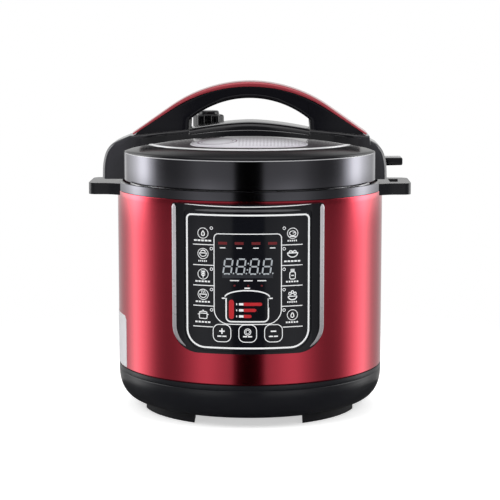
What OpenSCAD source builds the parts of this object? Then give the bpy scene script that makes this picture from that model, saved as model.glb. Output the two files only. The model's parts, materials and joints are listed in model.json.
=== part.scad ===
// Electric pressure cooker with a bayonet lid, a lift-out pot and a side-mounted control panel.
// Millimetres. +Z is up, the front faces -Y, and the origin lies on the pot's axis at the worktop.

/* [Body] */
// Room between the pot's well and the coloured shell
shell_room = 17; // [15:0.5:20]
// Sheet thickness of the shell
shell_t = 0.8; // [0.6:0.1:1.2]
// Height of the shell
shell_h = 177; // [172:1:182]
// Height of the base pan
base_h = 35.5; // [34:0.5:40]
// Wall of the base pan
base_t = 2.5; // [2:0.1:3]
// Height of the feet
foot_h = 9.5; // [7:0.5:12]
// Radial width of a foot
foot_w = 23; // [18:1:26]
// Angle that a foot spans
foot_span = 44; // [36:1:48]

/* [Collar] */
// Height of the collar above the shell
collar_h = 8.2; // [7.5:0.1:9]
// Height of the satin band around the collar
band_h = 8.3; // [7.6:0.1:9]
// Reach of the two side grips beyond the shell
ear_out = 27.5; // [24:0.5:32]
// Width of a side grip at its end
ear_w = 62; // [54:1:70]
// Thickness of a side grip
ear_t = 11.4; // [10:0.2:13]
// Wall of a side grip around its hollow underside
ear_wall = 3; // [2.4:0.2:4]

/* [Pot] */
// Inside radius of the cooking pot
pot_r = 110; // [107:0.5:111]
// Wall of the cooking pot
pot_t = 1.2; // [1:0.1:1.6]
// Gap around the pot in its well
pot_gap = 4.3; // [3.6:0.1:4.6]
// Wall of the steel well
well_t = 1.5; // [1.2:0.1:1.8]
// Height of the pot's rolled rim
rim_h = 4.4; // [3:0.1:5]
// Radial width of the pot's rolled rim
rim_w = 6.4; // [5:0.1:6.8]

/* [Bayonet] */
// Number of bayonet lugs
lugs = 6; // [4:1:8]
// Angle that a lug spans
lug_span = 24; // [14:1:26]
// Thickness of the lugs
lug_t = 2; // [1.6:0.1:2.4]
// Height of the well's lugs above the collar
lug_rise = 5.4; // [5:0.1:6]
// Radial reach of a lug
lug_reach = 3.2; // [2.6:0.1:3.6]

/* [Lid] */
// Wall of the lid around its steel skirt
lid_wall = 3.2; // [2.8:0.1:4]
// Height of the lid band
lid_h = 28.4; // [27.6:0.2:32]
// Gap between the lid band and the collar
lid_gap = 1; // [0.8:0.1:1.4]
// Wall of the lid's plastic cover
cover_t = 2.2; // [1.8:0.1:2.6]
// Rise of the sloping rim above the band
rim_rise = 7.9; // [6:0.1:9]
// Width of the sloping rim around the domed disc
slope_w = 23; // [20:0.5:27]
// Rise of the dome
dome_h = 9.5; // [7:0.5:11]
// Thickness of the disc
disc_t = 1.2; // [1:0.1:1.6]
// Thickness of the steel lid plate
plate_t = 1.5; // [1.2:0.1:1.8]

/* [Handle] */
// Width of the two webs where they stand on the bridge
web_w = 48; // [44:1:54]
// Height of the handle's top above the lid band
handle_h = 70.4; // [66:0.2:76]
// Drop of the arch from its crown to its straight ends
arch_drop = 25.1; // [20:0.1:30]
// Distance of the arch's ends from the lid's edge
arch_inset = 9.5; // [8:0.5:14]
// Thickness of the grip at its crown, with the coloured strip
grip_t = 17; // [15:0.5:20]
// Width of the grip at its crown
grip_w = 36; // [32:1:40]
// Thickness of the coloured strip at its crown
strip_t = 5.6; // [4:0.1:6.5]
// Half width of the finger opening
window_w = 60; // [54:1:64]
// Rise of the bridge's pillow above the dome
bridge_h = 13; // [11:0.5:14]
// Width of the bridge
bridge_w = 62; // [56:1:66]
// Width of a leg
leg_w = 57; // [50:1:60]
// How far the left leg stands out of the lid
leg_out_left = 20.6; // [16:0.2:24]
// How far the right leg stands out of the lid
leg_out_right = 10.4; // [8:0.2:14]
// Length of the stand fin on the right leg
fin_l = 16.3; // [14:0.1:18]
// Width of the stand fin
fin_w = 26; // [22:1:28]
// Thickness of the stand fin
fin_t = 8; // [6:0.5:9]

/* [Steam valve] */
// Place of the release knob to the left of the axis
knob_x = 44; // [40:1:50]
// Place of the release knob behind the axis
knob_y = 55; // [52:1:60]
// Radius of the release knob
knob_r = 16.2; // [15:0.1:17]
// Height of the release knob's skirt
knob_h = 16.5; // [15:0.5:18]
// Number of flutes round the knob
flutes = 12; // [8:1:16]
// Radius of the float valve's pin
float_r = 3.2; // [2.6:0.1:3.6]

/* [Control panel] */
// Width of the control panel, straight across
panel_w = 145; // [140:1:150]
// Height of the control panel
panel_h = 142.5; // [136:0.5:146]
// Gap between the panel and the top of the shell
panel_drop = 2.5; // [2:0.5:6]
// Radius of the panel's lower corners
panel_corner = 25; // [18:1:30]
// How far the panel stands out of the shell
panel_t = 5.5; // [4.5:0.1:6.5]
// Width of the bright trims
trim_w = 4.2; // [3:0.1:5]
// Radius of a round key
key_r = 7.8; // [6.5:0.1:8.4]
// Spacing of the round keys
key_pitch = 24.4; // [22:0.1:27]
// Height of the round keys above the panel's lower edge
key_rise = 20; // [18:0.5:24]
// Travel of a round key
key_travel = 0.6; // [0.4:0.1:0.8]

/* [Rear] */
// Width of the condensation cup
cup_w = 56; // [48:1:60]
// Height of the condensation cup
cup_h = 50; // [40:1:60]
// Depth of the condensation cup
cup_d = 19; // [16:1:22]
// Wall of the condensation cup
cup_t = 1.6; // [1.2:0.1:2]
// Place of the power inlet beside the axis
inlet_x = 40; // [36:1:50]

/* [Hidden] */
$fn = 96;

touch = 0.05;      // gap between curved faces of pieces that touch
free = 0.3;        // gap between pieces that move past each other
tiny = 0.01;       // overshoot of a cut
arcs = 36;         // points along a computed curve

// Heights, from the worktop up.
base_z = foot_h;
shell_z = base_z + base_h;
collar_z = shell_z + shell_h;
collar_top = collar_z + collar_h;
lid_z = collar_top + lid_gap;
cover_z = lid_z + lid_h + 0.1;
rim_z = cover_z + rim_rise;
dome_top = rim_z + dome_h;
handle_top = lid_z + lid_h + handle_h;

// Radii, from the pot outwards.
well_r = pot_r + pot_t + pot_gap + well_t;
shell_r = well_r + shell_room;
lug_inner = well_r + 1.2;
lug_outer = lug_inner + lug_reach;
skirt_r = lug_outer + 0.9;
skirt_out = skirt_r + plate_t;
lid_r = skirt_out + lid_wall;
disc_r = lid_r - slope_w;
ear_reach = shell_r + ear_out;
leg_left = lid_r + leg_out_left;
leg_right = lid_r + leg_out_right;
arch_end = lid_r - arch_inset;

// The well and what hangs on it.
well_z = shell_z + 1.5;
lug_z = collar_top + lug_rise;
gutter_r = shell_r - 5;
hang_z = collar_top - 2.4;
plate_r = pot_r - 22;
coil_r = plate_r - 26;
coil_w = 10;
plate_leg_h = 6;
plate_h = 8;
plate_z = well_z + well_t + plate_leg_h;
plate_top = plate_z + plate_h;
pot_z = plate_top + free;
pot_rim_z = lug_z + lug_t + 1;
pot_top = pot_rim_z + rim_h;

// Inside the lid.
ring_h = 10.2;
ring_z = pot_top + free;
plate_under = ring_z + ring_h + free;
lid_lug_z = lug_z - free - 0.1 - lug_t;
lid_lug_r = lug_inner + 0.4;
ring_r = skirt_r - 0.5;
wire_r = 1.5;
wire_at = pot_r + 0.2;
cover_in = lid_r - 1.5;
pillars = [[-90, 0], [-30, 0], [30, 0], [90, 0]];
pillar_r = 5;
knob_at = [-knob_x, knob_y];
float_at = [knob_x, knob_y];
pipe_r = 4;
pipe_top = dome_top + 7;
weight_r = 9;

// The panel in front view.
panel_z = collar_z - panel_drop - panel_h;
film_w = panel_w - 24;
film_h = panel_h - 9;
film_z = panel_z + 2.5;
film_corner = panel_corner - 4;
film_t = 0.8;
film_r = shell_r + panel_t - 1.5;
cut_inset = 6;
key_z = panel_z + key_rise;
display_w = 58;
display_h = 26;
display_z = panel_z + 84;
board_y = shell_r - 12.6;
board_t = 1.6;
board_w = 94;
switch_h = 3.5;
field_x = 42;
field_z = panel_z + 37;
field_pitch = 19.5;
board_screws = [for (x = [-1, 1], z = [18, 37 + 3.5 * field_pitch]) [x * (board_w / 2 - 4), panel_z + z]];

// The rear.
cup_top = collar_z - 10.6;
cup_y = shell_r + 3.2;
inlet_z = base_z + 19;
label_t = 0.25;
label_angle = -79.5;
sticker_w = 63;
sticker_h = 52;

// ---------------------------------------------------------------- helpers

// A ring or a disc round the axis.
module ring(ri, ro, z0, z1) {
    translate([0, 0, z0]) difference() {
        cylinder(r = ro, h = z1 - z0);
        if (ri > 0) translate([0, 0, -1]) cylinder(r = ri, h = z1 - z0 + 2);
    }
}

// Children carried to an angle round the axis, measured from the front towards the right.
module at(angle, radius, z = 0) {
    rotate([0, 0, angle]) translate([0, -radius, z]) children();
}

// A flat outline in front view (x, z), pushed through from y0 to y1.
module frontal(y0, y1) {
    translate([0, y1, 0]) rotate([90, 0, 0]) linear_extrude(height = y1 - y0) children();
}

// A cylinder along Y from y0 to y1.
module peg_y(x, z, r, y0, y1) {
    translate([x, y1, z]) rotate([90, 0, 0]) cylinder(r = r, h = y1 - y0);
}

// A slice of a ring, centred on an angle.
module sector(ri, ro, z0, z1, span, angle = 0) {
    rotate([0, 0, angle - 90 - span / 2]) rotate_extrude(angle = span)
        translate([ri, z0]) square([ro - ri, z1 - z0]);
}

// Rectangle with its own radii at the lower and upper corners.
module plaque(w, h, r_low, r_top) {
    difference() {
        translate([-w / 2, 0]) square([w, h]);
        for (s = [-1, 1]) {
            corner_cut(s * w / 2, 0, -s, 1, r_low);
            corner_cut(s * w / 2, h, -s, -1, r_top);
        }
    }
}

// What a round corner takes off a square one; sx and sy point into the plate.
module corner_cut(x, y, sx, sy, r) {
    difference() {
        translate([sx > 0 ? x - 1 : x - r, sy > 0 ? y - 1 : y - r]) square(r + 1);
        translate([x + sx * r, y + sy * r]) circle(r = r);
    }
}

// Solid skinned over rings of points, closed at both ends.
module loft(rings) {
    n = len(rings[0]);
    m = len(rings);
    sides = [for (i = [0 : m - 2], j = [0 : n - 1])
        each [[i * n + j, i * n + (j + 1) % n, (i + 1) * n + j],
              [i * n + (j + 1) % n, (i + 1) * n + (j + 1) % n, (i + 1) * n + j]]];
    first = [for (j = [n - 1 : -1 : 0]) j];
    last = [for (j = [0 : n - 1]) (m - 1) * n + j];
    polyhedron(points = [for (r = rings) each r], faces = concat(sides, [first, last]));
}

// Height of the lid's dome at a distance from the axis, and the profile under it.
function dome_z(r) = rim_z + dome_h * (1 - pow(r / disc_r, 2));
function dome_line(r0, r1, drop, n = 14) =
    [for (i = [0 : n]) let (r = r0 + (r1 - r0) * i / n) [r, dome_z(r) - drop]];
function corner(cx, cz, r, a0, a1, n = 8) =
    [for (i = [0 : n]) let (a = a0 + (a1 - a0) * i / n) [cx + r * cos(a), cz + r * sin(a)]];

// ---------------------------------------------------------------- base

// Outer line of the bowl: a full, rounded quarter between the flat floor and the wall.
bowl_low = 22;
bowl_full = 2.3;
ridge_z = shell_z - 5.6;
function bowl(inset) = [for (i = [0 : 16]) let (a = 90 - i * 90 / 16)
    [shell_r - bowl_low + (bowl_low - inset) * pow(cos(a), 2 / bowl_full),
     ridge_z - (ridge_z - base_z - inset) * pow(sin(a), 2 / bowl_full)]];

module base_pan() {
    color("#1b1c1f") difference() {
        union() {
            rotate_extrude() polygon(concat([[0, base_z]], bowl(0),
                [[shell_r - 0.8, ridge_z + 0.6], [shell_r, ridge_z + 1.2], [shell_r, shell_z],
                 [shell_r - base_t, shell_z]],
                [for (p = [16 : -1 : 0]) bowl(base_t)[p]], [[0, base_z + base_t]]));
            inlet_boss();
            for (p = board_feet) translate([p[0], p[1], base_z + base_t - tiny])
                cylinder(r = 3.5, h = power_z - base_z - base_t + tiny);
        }
        translate([inlet_x, shell_r, inlet_z]) cube([inlet_w + 0.4, 80, inlet_h + 0.4], center = true);
        for (a = [0 : 12 : 359]) at(a, vent_r) translate([-1.5, -vent_l, base_z - 1])
            cube([3, vent_l, base_t + 2]);
        for (a = foot_angles) at(a, foot_mid, base_z - 1) cylinder(r = bolt_hole_r, h = base_t + 2);
        for (a = post_angles) at(a, post_at, base_z - 1) cylinder(r = bolt_hole_r, h = base_t + 2);
    }
}

vent_r = 34;
vent_l = 24;
bolt_r = 2;
bolt_hole_r = 2.1;
foot_angles = [48, 132, 228, 312];
foot_out = shell_r - bowl_low - 1;
foot_mid = foot_out - foot_w / 2;
// The ends that face each other across the middle are cut parallel, this far out.
foot_in = 0.475 * foot_out;

module feet() {
    color("#141517") for (a = foot_angles) difference() {
        rotate([0, 0, a - 90 - foot_span / 2]) rotate_extrude(angle = foot_span) polygon([
            [foot_out - foot_w, 1.5], [foot_out - foot_w + 1.5, 0], [foot_out - 1.5, 0],
            [foot_out, 1.5], [foot_out, foot_h], [foot_out - foot_w, foot_h]]);
        at(a, foot_mid, -1) cylinder(r = 5, h = foot_h / 2 + 1);
        at(a, foot_mid, -1) cylinder(r = bolt_hole_r, h = foot_h + 2);
        translate([-foot_in, -foot_out - 1, -1]) cube([2 * foot_in, 2 * foot_out + 2, foot_h + 2]);
    }
}

module foot_screws() {
    color("#8d9196") for (a = foot_angles) at(a, foot_mid) {
        translate([0, 0, foot_h / 2 - 2.4]) cylinder(r = 4, h = 2.4);
        translate([0, 0, foot_h / 2 - tiny]) cylinder(r = bolt_r, h = foot_h / 2 + base_t + 3);
    }
}

// ---------------------------------------------------------------- shell and panel cut-outs

module panel_outline(inset = 0) {
    translate([0, panel_z + inset])
        plaque(panel_w - 2 * inset, panel_h - 2 * inset, max(panel_corner - inset, 3), 3);
}

module outer_shell() {
    color("#a8242f") difference() {
        ring(shell_r - shell_t, shell_r, shell_z, collar_z);
        frontal(-shell_r - 20, -60) panel_outline(cut_inset);
        peg_y(0, spout_z, spout_r + free, 60, shell_r + 10);
        for (x = [-1, 1]) peg_y(x * cup_w / 4, cup_top - 14, 1.6, 60, shell_r + 10);
    }
}

// ---------------------------------------------------------------- collar with the two side grips

ear_z = collar_top - 1 - ear_t;
ear_corner = 8;
slot_x = ear_reach - 15.5;
slot_w = 10;
slot_l = 30;

// Plan of the collar: a disc with two grips that flare into it.
module ear_plan(grow = 0) {
    for (s = [0, 1]) mirror([s, 0]) polygon(concat(
        [[well_r - 17, -ear_w / 2 - 12 - grow], [shell_r - 9, -ear_w / 2 - 9 - grow],
         [shell_r + 3, -ear_w / 2 - 2 - grow], [shell_r + 9, -ear_w / 2 - grow]],
        corner(ear_reach - ear_corner, -ear_w / 2 + ear_corner, ear_corner + grow, -90, 0),
        corner(ear_reach - ear_corner, ear_w / 2 - ear_corner, ear_corner + grow, 0, 90),
        [[shell_r + 9, ear_w / 2 + grow], [shell_r + 3, ear_w / 2 + 2 + grow],
         [shell_r - 9, ear_w / 2 + 9 + grow], [well_r - 17, ear_w / 2 + 12 + grow]]));
}

module collar() {
    color("#1b1c1f") difference() {
        union() {
            rotate_extrude() polygon([
                [well_r + 0.3, collar_z - 10], [well_r + 3.4, collar_z - 10], [well_r + 3.4, gutter_z - 3],
                [shell_r - 3.4, gutter_z - 3], [shell_r - 3.4, collar_z - 8.5],
                [shell_r - shell_t - 0.1, collar_z - 8.5], [shell_r - shell_t - 0.1, collar_z + 0.1],
                [shell_r - 1, collar_z + 0.1], [shell_r - 1, collar_top - 0.3], [shell_r - 1.3, collar_top],
                [gutter_r + 0.4, collar_top], [gutter_r - 0.6, gutter_z], [well_r + 4.2, gutter_z],
                [well_r + 4.2, hang_z], [well_r + 0.3, hang_z]]);
            difference() {
                translate([0, 0, ear_z]) linear_extrude(height = ear_t) ear_plan();
                ring(0, shell_r + 0.3, ear_z - 1, collar_z + 0.1);
                ring(0, shell_r - 1.2, collar_z - 1, collar_top + 1);
            }
        }
        for (s = [-1, 1]) translate([s * (shell_r + ear_reach) / 2 + s * 0.6, 0, ear_z - 1])
            linear_extrude(height = ear_t - ear_wall + 1)
                square([ear_reach - shell_r - 2 * ear_wall - 1.2, ear_w - 2 * ear_wall], center = true);
        translate([slot_x, 0, collar_top]) linear_extrude(height = 4 * ear_t, center = true)
            square([slot_w, slot_l], center = true);
        at(180, spout_at, gutter_z - 4) cylinder(r = 2.4, h = 6);
        peg_y(0, spout_z, spout_r + 0.15, well_r - 7, shell_r + 1);
    }
}

gutter_z = collar_z - 0.5;

module collar_band() {
    color("#5b5d63") difference() {
        ring(shell_r - 1 + touch, shell_r, collar_z + 0.2, collar_z + 0.2 + band_h);
        translate([0, 0, collar_z - 1]) linear_extrude(height = band_h + 4) ear_plan(0.1);
    }
}

spout_r = 3.2;
spout_z = gutter_z - 3 - spout_r;
spout_at = (well_r + shell_r) / 2;

// Spout that carries the gutter's water out of the shell and over the cup.
module drain_spout() {
    block = 7;
    color("#2b2c30") difference() {
        union() {
            peg_y(0, spout_z, spout_r, spout_at, shell_r + 9);
            translate([-block / 2, spout_at - block / 2, spout_z - spout_r - 0.4])
                cube([block, block, gutter_z - 3 - spout_z + spout_r + 0.4 - touch]);
        }
        peg_y(0, spout_z, spout_r - 1.2, spout_at, shell_r + 10);
        at(180, spout_at, spout_z) cylinder(r = 1.7, h = 10);
    }
}

// ---------------------------------------------------------------- well, heater and sensor

post_angles = [0, 90, 180, 270];
post_at = well_r - 19;
sensor_r = 12.8;
stem_r = 5;
terminal_at = [[-8, coil_r], [8, coil_r]];

module pressure_well() {
    r1 = 14;
    color("#b9bcc0") difference() {
        union() {
            rotate_extrude() polygon(concat([[0, well_z]],
                corner(well_r - r1, well_z + r1, r1, -90, 0),
                [[well_r, lug_z], [lug_inner, lug_z], [lug_inner, lug_z + lug_t],
                 [well_r - well_t, lug_z + lug_t]],
                corner(well_r - r1, well_z + r1, r1 - well_t, 0, -90),
                [[0, well_z + well_t]]));
            for (i = [0 : lugs - 1])
                sector(lug_inner - 0.5, lug_outer, lug_z, lug_z + lug_t, lug_span, i * 360 / lugs);
            ring(well_r - 0.4, well_r + 4, hang_z + touch, hang_z + touch + well_t);
        }
        ring(0, stem_r + 0.6, well_z - 1, well_z + well_t + 1);
        for (p = terminal_at) translate([p[0], p[1], well_z - 1]) cylinder(r = 4, h = well_t + 2);
        for (a = post_angles) at(a, post_at, well_z - 1) cylinder(r = bolt_hole_r, h = well_t + 2);
    }
}

// Steel posts that carry the well on the base pan, each with a threaded stud through both.
module support_posts() {
    color("#9a9da1") for (a = post_angles) at(a, post_at, base_z + base_t) {
        cylinder(r = 5, h = well_z - base_z - base_t);
        translate([0, 0, -base_t - 1.5]) cylinder(r = bolt_r, h = well_z + well_t - base_z + 3.5);
    }
}

// Cast heating plate: a disc with the tube of the element in a ridge below, on three feet.
module heater_plate() {
    color("#c4c6c8") difference() {
        union() {
            rotate_extrude() polygon([[sensor_r + 0.7, plate_z], [coil_r - coil_w, plate_z],
                [coil_r - coil_w + 3, plate_z - 3], [coil_r + coil_w - 3, plate_z - 3],
                [coil_r + coil_w, plate_z], [plate_r - 1, plate_z], [plate_r, plate_z + 1],
                [plate_r, plate_top - 1.5], [plate_r - 1.5, plate_top], [sensor_r + 0.7, plate_top]]);
            for (a = [0, 120, 240]) at(a, plate_r - 8, well_z + well_t)
                cylinder(r = 5, h = plate_leg_h + 1);
        }
        for (p = terminal_at) translate([p[0], p[1], plate_z - 4]) cylinder(r = 2.6, h = 5);
    }
}

module heater_terminals() {
    color("#d9dadc") for (p = terminal_at) translate([p[0], p[1], 0]) {
        translate([0, 0, well_z - 10]) cylinder(r = 1.6, h = plate_z + 1 - well_z + 10);
        translate([0, 0, well_z - 3]) cylinder(r = 3.6, h = 3);
        translate([0, 0, plate_z - 5.4]) cylinder(r = 2.5, h = 6.3);
    }
}

module thermal_fuse() {
    color("#e6e2d6") at(30, coil_r - coil_w / 2 - 17, 0) {
        translate([-9, -4, plate_z - 1.2]) cube([18, 8, 1.2]);
        translate([0, 0, plate_z - 3.6]) rotate([0, 90, 0]) cylinder(r = 2.4, h = 16, center = true);
    }
}

module pressure_switch() {
    color("#e9e4d2") at(-50, 55, 0) {
        translate([-11, -6, well_z - 12]) cube([22, 12, 12 - touch]);
        translate([-3, -1.5, well_z - 18]) cube([6, 3, 6.5]);
    }
}

module sensor_cap() {
    color("#c9cbcd") {
        rotate_extrude() polygon([[0, plate_top - 4], [sensor_r - 1.5, plate_top - 4],
            [sensor_r, plate_top - 2.5], [sensor_r, plate_top - 0.8],
            [sensor_r - 0.8, plate_top], [0, plate_top]]);
        ring(0, stem_r, well_z - 9, plate_top - 3);
        ring(0, stem_r + 2, well_z - 5.4, well_z - 4);
    }
}

spring_turns = 3.5;
spring_r = 8;
spring_wire = 0.6;

// Coil under the sensor, swept as a ring of points that climbs round the stem.
module sensor_spring() {
    z0 = well_z + well_t + spring_wire + touch;
    rise = plate_top - 4 - touch - spring_wire - z0;
    steps = 14 * spring_turns;
    color("#9fa3a8") loft([for (i = [0 : steps]) let (a = 360 * spring_turns * i / steps)
        [for (j = [0 : 5]) let (b = 60 * j)
            [(spring_r + spring_wire * cos(b)) * cos(a), (spring_r + spring_wire * cos(b)) * sin(a),
             z0 + rise * i / steps + spring_wire * sin(b)]]]);
}

// ---------------------------------------------------------------- electrics in the base

power_z = base_z + base_t + 7;
power_w = 62;
power_l = 76;
power_at = [-70, -28];
board_feet = [for (x = [4, power_w - 4], y = [4, power_l - 4]) [power_at[0] + x, power_at[1] + y]];

module power_board() {
    color("#2f6b3c") translate([power_at[0], power_at[1], power_z])
        cube([power_w, power_l, board_t]);
}

module power_parts() {
    z = power_z + board_t;
    u = power_w / 62;
    color("#cdb24a") translate([power_at[0], power_at[1], z]) {
        translate([8 * u, 10 * u, 0]) cube([24 * u, 20 * u, 14 * u]);
        translate([40 * u, 12 * u, 0]) cube([15 * u, 19 * u, 12 * u]);
        translate([16 * u, 48 * u, 0]) cylinder(r = 7 * u, h = 15 * u);
        translate([34 * u, 56 * u, 0]) cylinder(r = 5 * u, h = 11 * u);
        translate([44 * u, 42 * u, 0]) cube([12 * u, 8 * u, 11 * u]);
    }
}

// ---------------------------------------------------------------- control panel

window_cut_w = display_w + 1;
window_cut_h = display_h + 1;
key_stem_r = 3;
screw_r = 1.5;
trim_t = 3.1;

module control_board() {
    color("#2f6b3c") difference() {
        translate([-board_w / 2, -board_y, panel_z + 12]) cube([board_w, board_t, panel_h - 28]);
        for (p = board_screws) peg_y(p[0], p[1], screw_r + 0.2, -board_y - 1, -board_y + board_t + 1);
    }
}

module display_module() {
    color("#17181b") translate([-display_w / 2, -film_r + 3.2, display_z - display_h / 2])
        cube([display_w, film_r - 3.2 - board_y, display_h]);
}

// One switch under each round key and one under each programme field of the film.
switch_spots = concat([for (i = [-1 : 1]) [i * key_pitch, key_z]],
    [for (s = [-1, 1], i = [0 : 4]) [s * field_x, field_z + i * field_pitch]]);

module tact_switches() {
    color("#3a3b40") for (p = switch_spots) {
        translate([p[0] - 3, -board_y - 2.4, p[1] - 3]) cube([6, 2.4, 6]);
        peg_y(p[0], p[1], 1.6, -board_y - switch_h, -board_y - 2.3);
    }
}

module panel_screws() {
    color("#9a9da1") for (p = board_screws) {
        peg_y(p[0], p[1], 2.8, -board_y + board_t, -board_y + board_t + 2);
        peg_y(p[0], p[1], screw_r, -board_y - 4, -board_y + board_t + 0.1);
    }
}

// Where the two bright trims run: down the sides and a little way round the lower corners.
module trim_reach(grow = 0) {
    for (s = [-1, 1]) translate([s * (panel_w / 2 + 2 - trim_w / 2), panel_z + panel_h / 2 + 5])
        square([trim_w + 4 + 2 * grow, panel_h - 12 + 2 * grow], center = true);
}

module film_outline(grow = 0) {
    translate([0, film_z - grow]) plaque(film_w + 2 * grow, film_h + 2 * grow, film_corner + grow, 3);
}

// Curved panel that stands on the shell, with a plug through the shell's cut-out.
module panel_bezel() {
    face = shell_r + panel_t;
    plug_in = shell_r - 2.8;
    z0 = panel_z - 1;
    z1 = panel_z + panel_h + 1;
    color("#101114") difference() {
        union() {
            intersection() {
                ring(shell_r + touch, face, z0, z1);
                frontal(-face - 5, -60) panel_outline();
            }
            intersection() {
                ring(plug_in, shell_r + 1, z0, z1);
                frontal(-face - 5, -60) panel_outline(cut_inset + free);
            }
            for (p = board_screws) peg_y(p[0], p[1], 3.6, -board_y - 8, -board_y);
        }
        intersection() {
            ring(film_r, face + 9, z0, z1);
            frontal(-face - 5, -60) film_outline(0.1);
        }
        intersection() {
            ring(face - trim_t - 0.1, face + 9, z0, z1);
            frontal(-face - 5, -60) difference() {
                trim_reach(touch);
                panel_outline(trim_w + touch);
            }
        }
        translate([-window_cut_w / 2, -face - 5, display_z - window_cut_h / 2])
            cube([window_cut_w, 40, window_cut_h]);
        for (i = [-1 : 1]) {
            peg_y(i * key_pitch, key_z, key_r + free, -face - 5, key_seat(i) - key_travel - 0.2);
            peg_y(i * key_pitch, key_z, key_stem_r + free, -face - 5, -board_y);
        }
        for (p = switch_spots) peg_y(p[0], p[1], 4.4, -board_y - switch_h - 0.6, -60);
        for (p = board_screws) peg_y(p[0], p[1], screw_r + touch, -board_y - 4.2, -60);
    }
}

module panel_film() {
    color("#1c1d22") difference() {
        intersection() {
            ring(film_r + touch, film_r + film_t, panel_z, panel_z + panel_h);
            frontal(-shell_r - 20, -60) film_outline();
        }
        for (i = [-1 : 1]) peg_y(i * key_pitch, key_z, key_r + free, -shell_r - 20, -60);
    }
}

module panel_trims() {
    color("#b9bbc0") intersection() {
        ring(shell_r + panel_t - trim_t, shell_r + panel_t + 0.4, panel_z, panel_z + panel_h);
        frontal(-shell_r - 20, -60) intersection() {
            difference() {
                panel_outline(0.1);
                panel_outline(trim_w);
            }
            trim_reach();
        }
    }
}

// Back face of a round key's cap, at its place across the panel.
function key_seat(i) = -sqrt(pow(shell_r + 1.5, 2) - pow(i * key_pitch, 2));

// Round key: a cap whose face follows the film, on a stem that reaches its switch.
module key(i) {
    color("#24252b") {
        intersection() {
            peg_y(i * key_pitch, key_z, key_r, -shell_r - 20, key_seat(i) - key_travel - 1);
            ring(0, film_r + film_t + 0.3, key_z - 20, key_z + 20, $fn = 720);
        }
        peg_y(i * key_pitch, key_z, key_stem_r, key_seat(i) - key_travel - 1.1,
            -board_y - switch_h - key_travel - 0.15);
    }
}

module key_up() {
    key(-1);
}

module key_stop() {
    key(0);
}

module key_down() {
    key(1);
}

// ---------------------------------------------------------------- rear: inlet, cup and label

inlet_w = 28;
inlet_h = 20;
flange_y = shell_r - 1.9;
flange_t = 1.5;

module inlet_boss() {
    difference() {
        translate([inlet_x - inlet_w / 2 - 4, shell_r - 26, inlet_z - inlet_h / 2 - 3.5])
            cube([inlet_w + 8, 24, inlet_h + 7]);
        translate([0, 0, base_z + base_t]) cylinder(r = shell_r - 20, h = base_h);
    }
}

module power_inlet() {
    color("#202125") difference() {
        union() {
            translate([inlet_x - inlet_w / 2 - 3, flange_y, inlet_z - inlet_h / 2 - 2.5])
                cube([inlet_w + 6, flange_t, inlet_h + 5]);
            translate([inlet_x - inlet_w / 2, shell_r - 24, inlet_z - inlet_h / 2])
                cube([inlet_w, 22.2, inlet_h]);
        }
        frontal(shell_r - 20, shell_r + 2) translate([inlet_x, inlet_z]) polygon([
            [-11.5, 7.8], [11.5, 7.8], [11.5, -3.5], [7.5, -7.8], [-7.5, -7.8], [-11.5, -3.5]]);
    }
}

module inlet_pins() {
    color("#cfd1d3") for (p = [[-7, -1.5], [0, 3], [7, -1.5]])
        translate([inlet_x + p[0] - 1, shell_r - 20, inlet_z + p[1] - 2.5]) cube([2, 15, 5]);
}

rail_z = cup_top - 4;

// Bracket on the shell with two rails that the cup's lip slides along.
module cup_bracket() {
    color("#1b1c1f") {
        difference() {
            intersection() {
                ring(shell_r + touch, shell_r + 2.2, cup_top - 24, cup_top);
                translate([-cup_w / 2 - 5, 60, cup_top - 30]) cube([cup_w + 10, 100, 60]);
            }
            for (x = [-1, 1]) peg_y(x * cup_w / 4, cup_top - 14, 1.6, 60, shell_r + 10);
        }
        for (s = [0, 1]) mirror([s, 0, 0]) {
            translate([cup_w / 2 + 2.7, shell_r - 6.2, rail_z - 2.4]) difference() {
                cube([2.3, cup_d + 9, 8.2]);
                translate([-cup_w / 2 - 2.7, -shell_r + 6.2, -1]) cylinder(r = shell_r + 1, h = 12);
            }
            difference() {
                translate([cup_w / 2 + 0.4, shell_r - 6.2, rail_z - 2.4]) cube([2.4, cup_d + 9, 2]);
                translate([0, 0, rail_z - 4]) cylinder(r = shell_r + 1, h = 12);
            }
        }
    }
}

module condensation_cup() {
    color("#9aa4ad") translate([-cup_w / 2, cup_y, cup_top - cup_h]) {
        difference() {
            union() {
                cube([cup_w, cup_d, cup_h]);
                translate([-2.1, 0, cup_h - 4]) cube([cup_w + 4.2, cup_d, 2]);
            }
            translate([cup_t, cup_t, cup_t]) cube([cup_w - 2 * cup_t, cup_d - 2 * cup_t, cup_h]);
        }
        translate([cup_w / 2 - 12, cup_d - tiny, cup_h * 0.55]) cube([24, 3, 3]);
    }
}

// Plain pale label low on the left side, with its front upper corner cut away.
module blank_label() {
    color("#e4e4e6") rotate([0, 0, label_angle]) intersection() {
        ring(shell_r + 0.02, shell_r + label_t, shell_z + 1.5, shell_z + 1.5 + sticker_h);
        frontal(-shell_r - 5, -60) polygon([[-sticker_w / 2, shell_z], [sticker_w / 2, shell_z],
            [sticker_w / 2, shell_z + sticker_h - 2.5], [sticker_w / 2 - 4, shell_z + sticker_h + 1.5],
            [-sticker_w / 2, shell_z + sticker_h + 1.5]]);
    }
}

// ---------------------------------------------------------------- pot and seal

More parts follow.
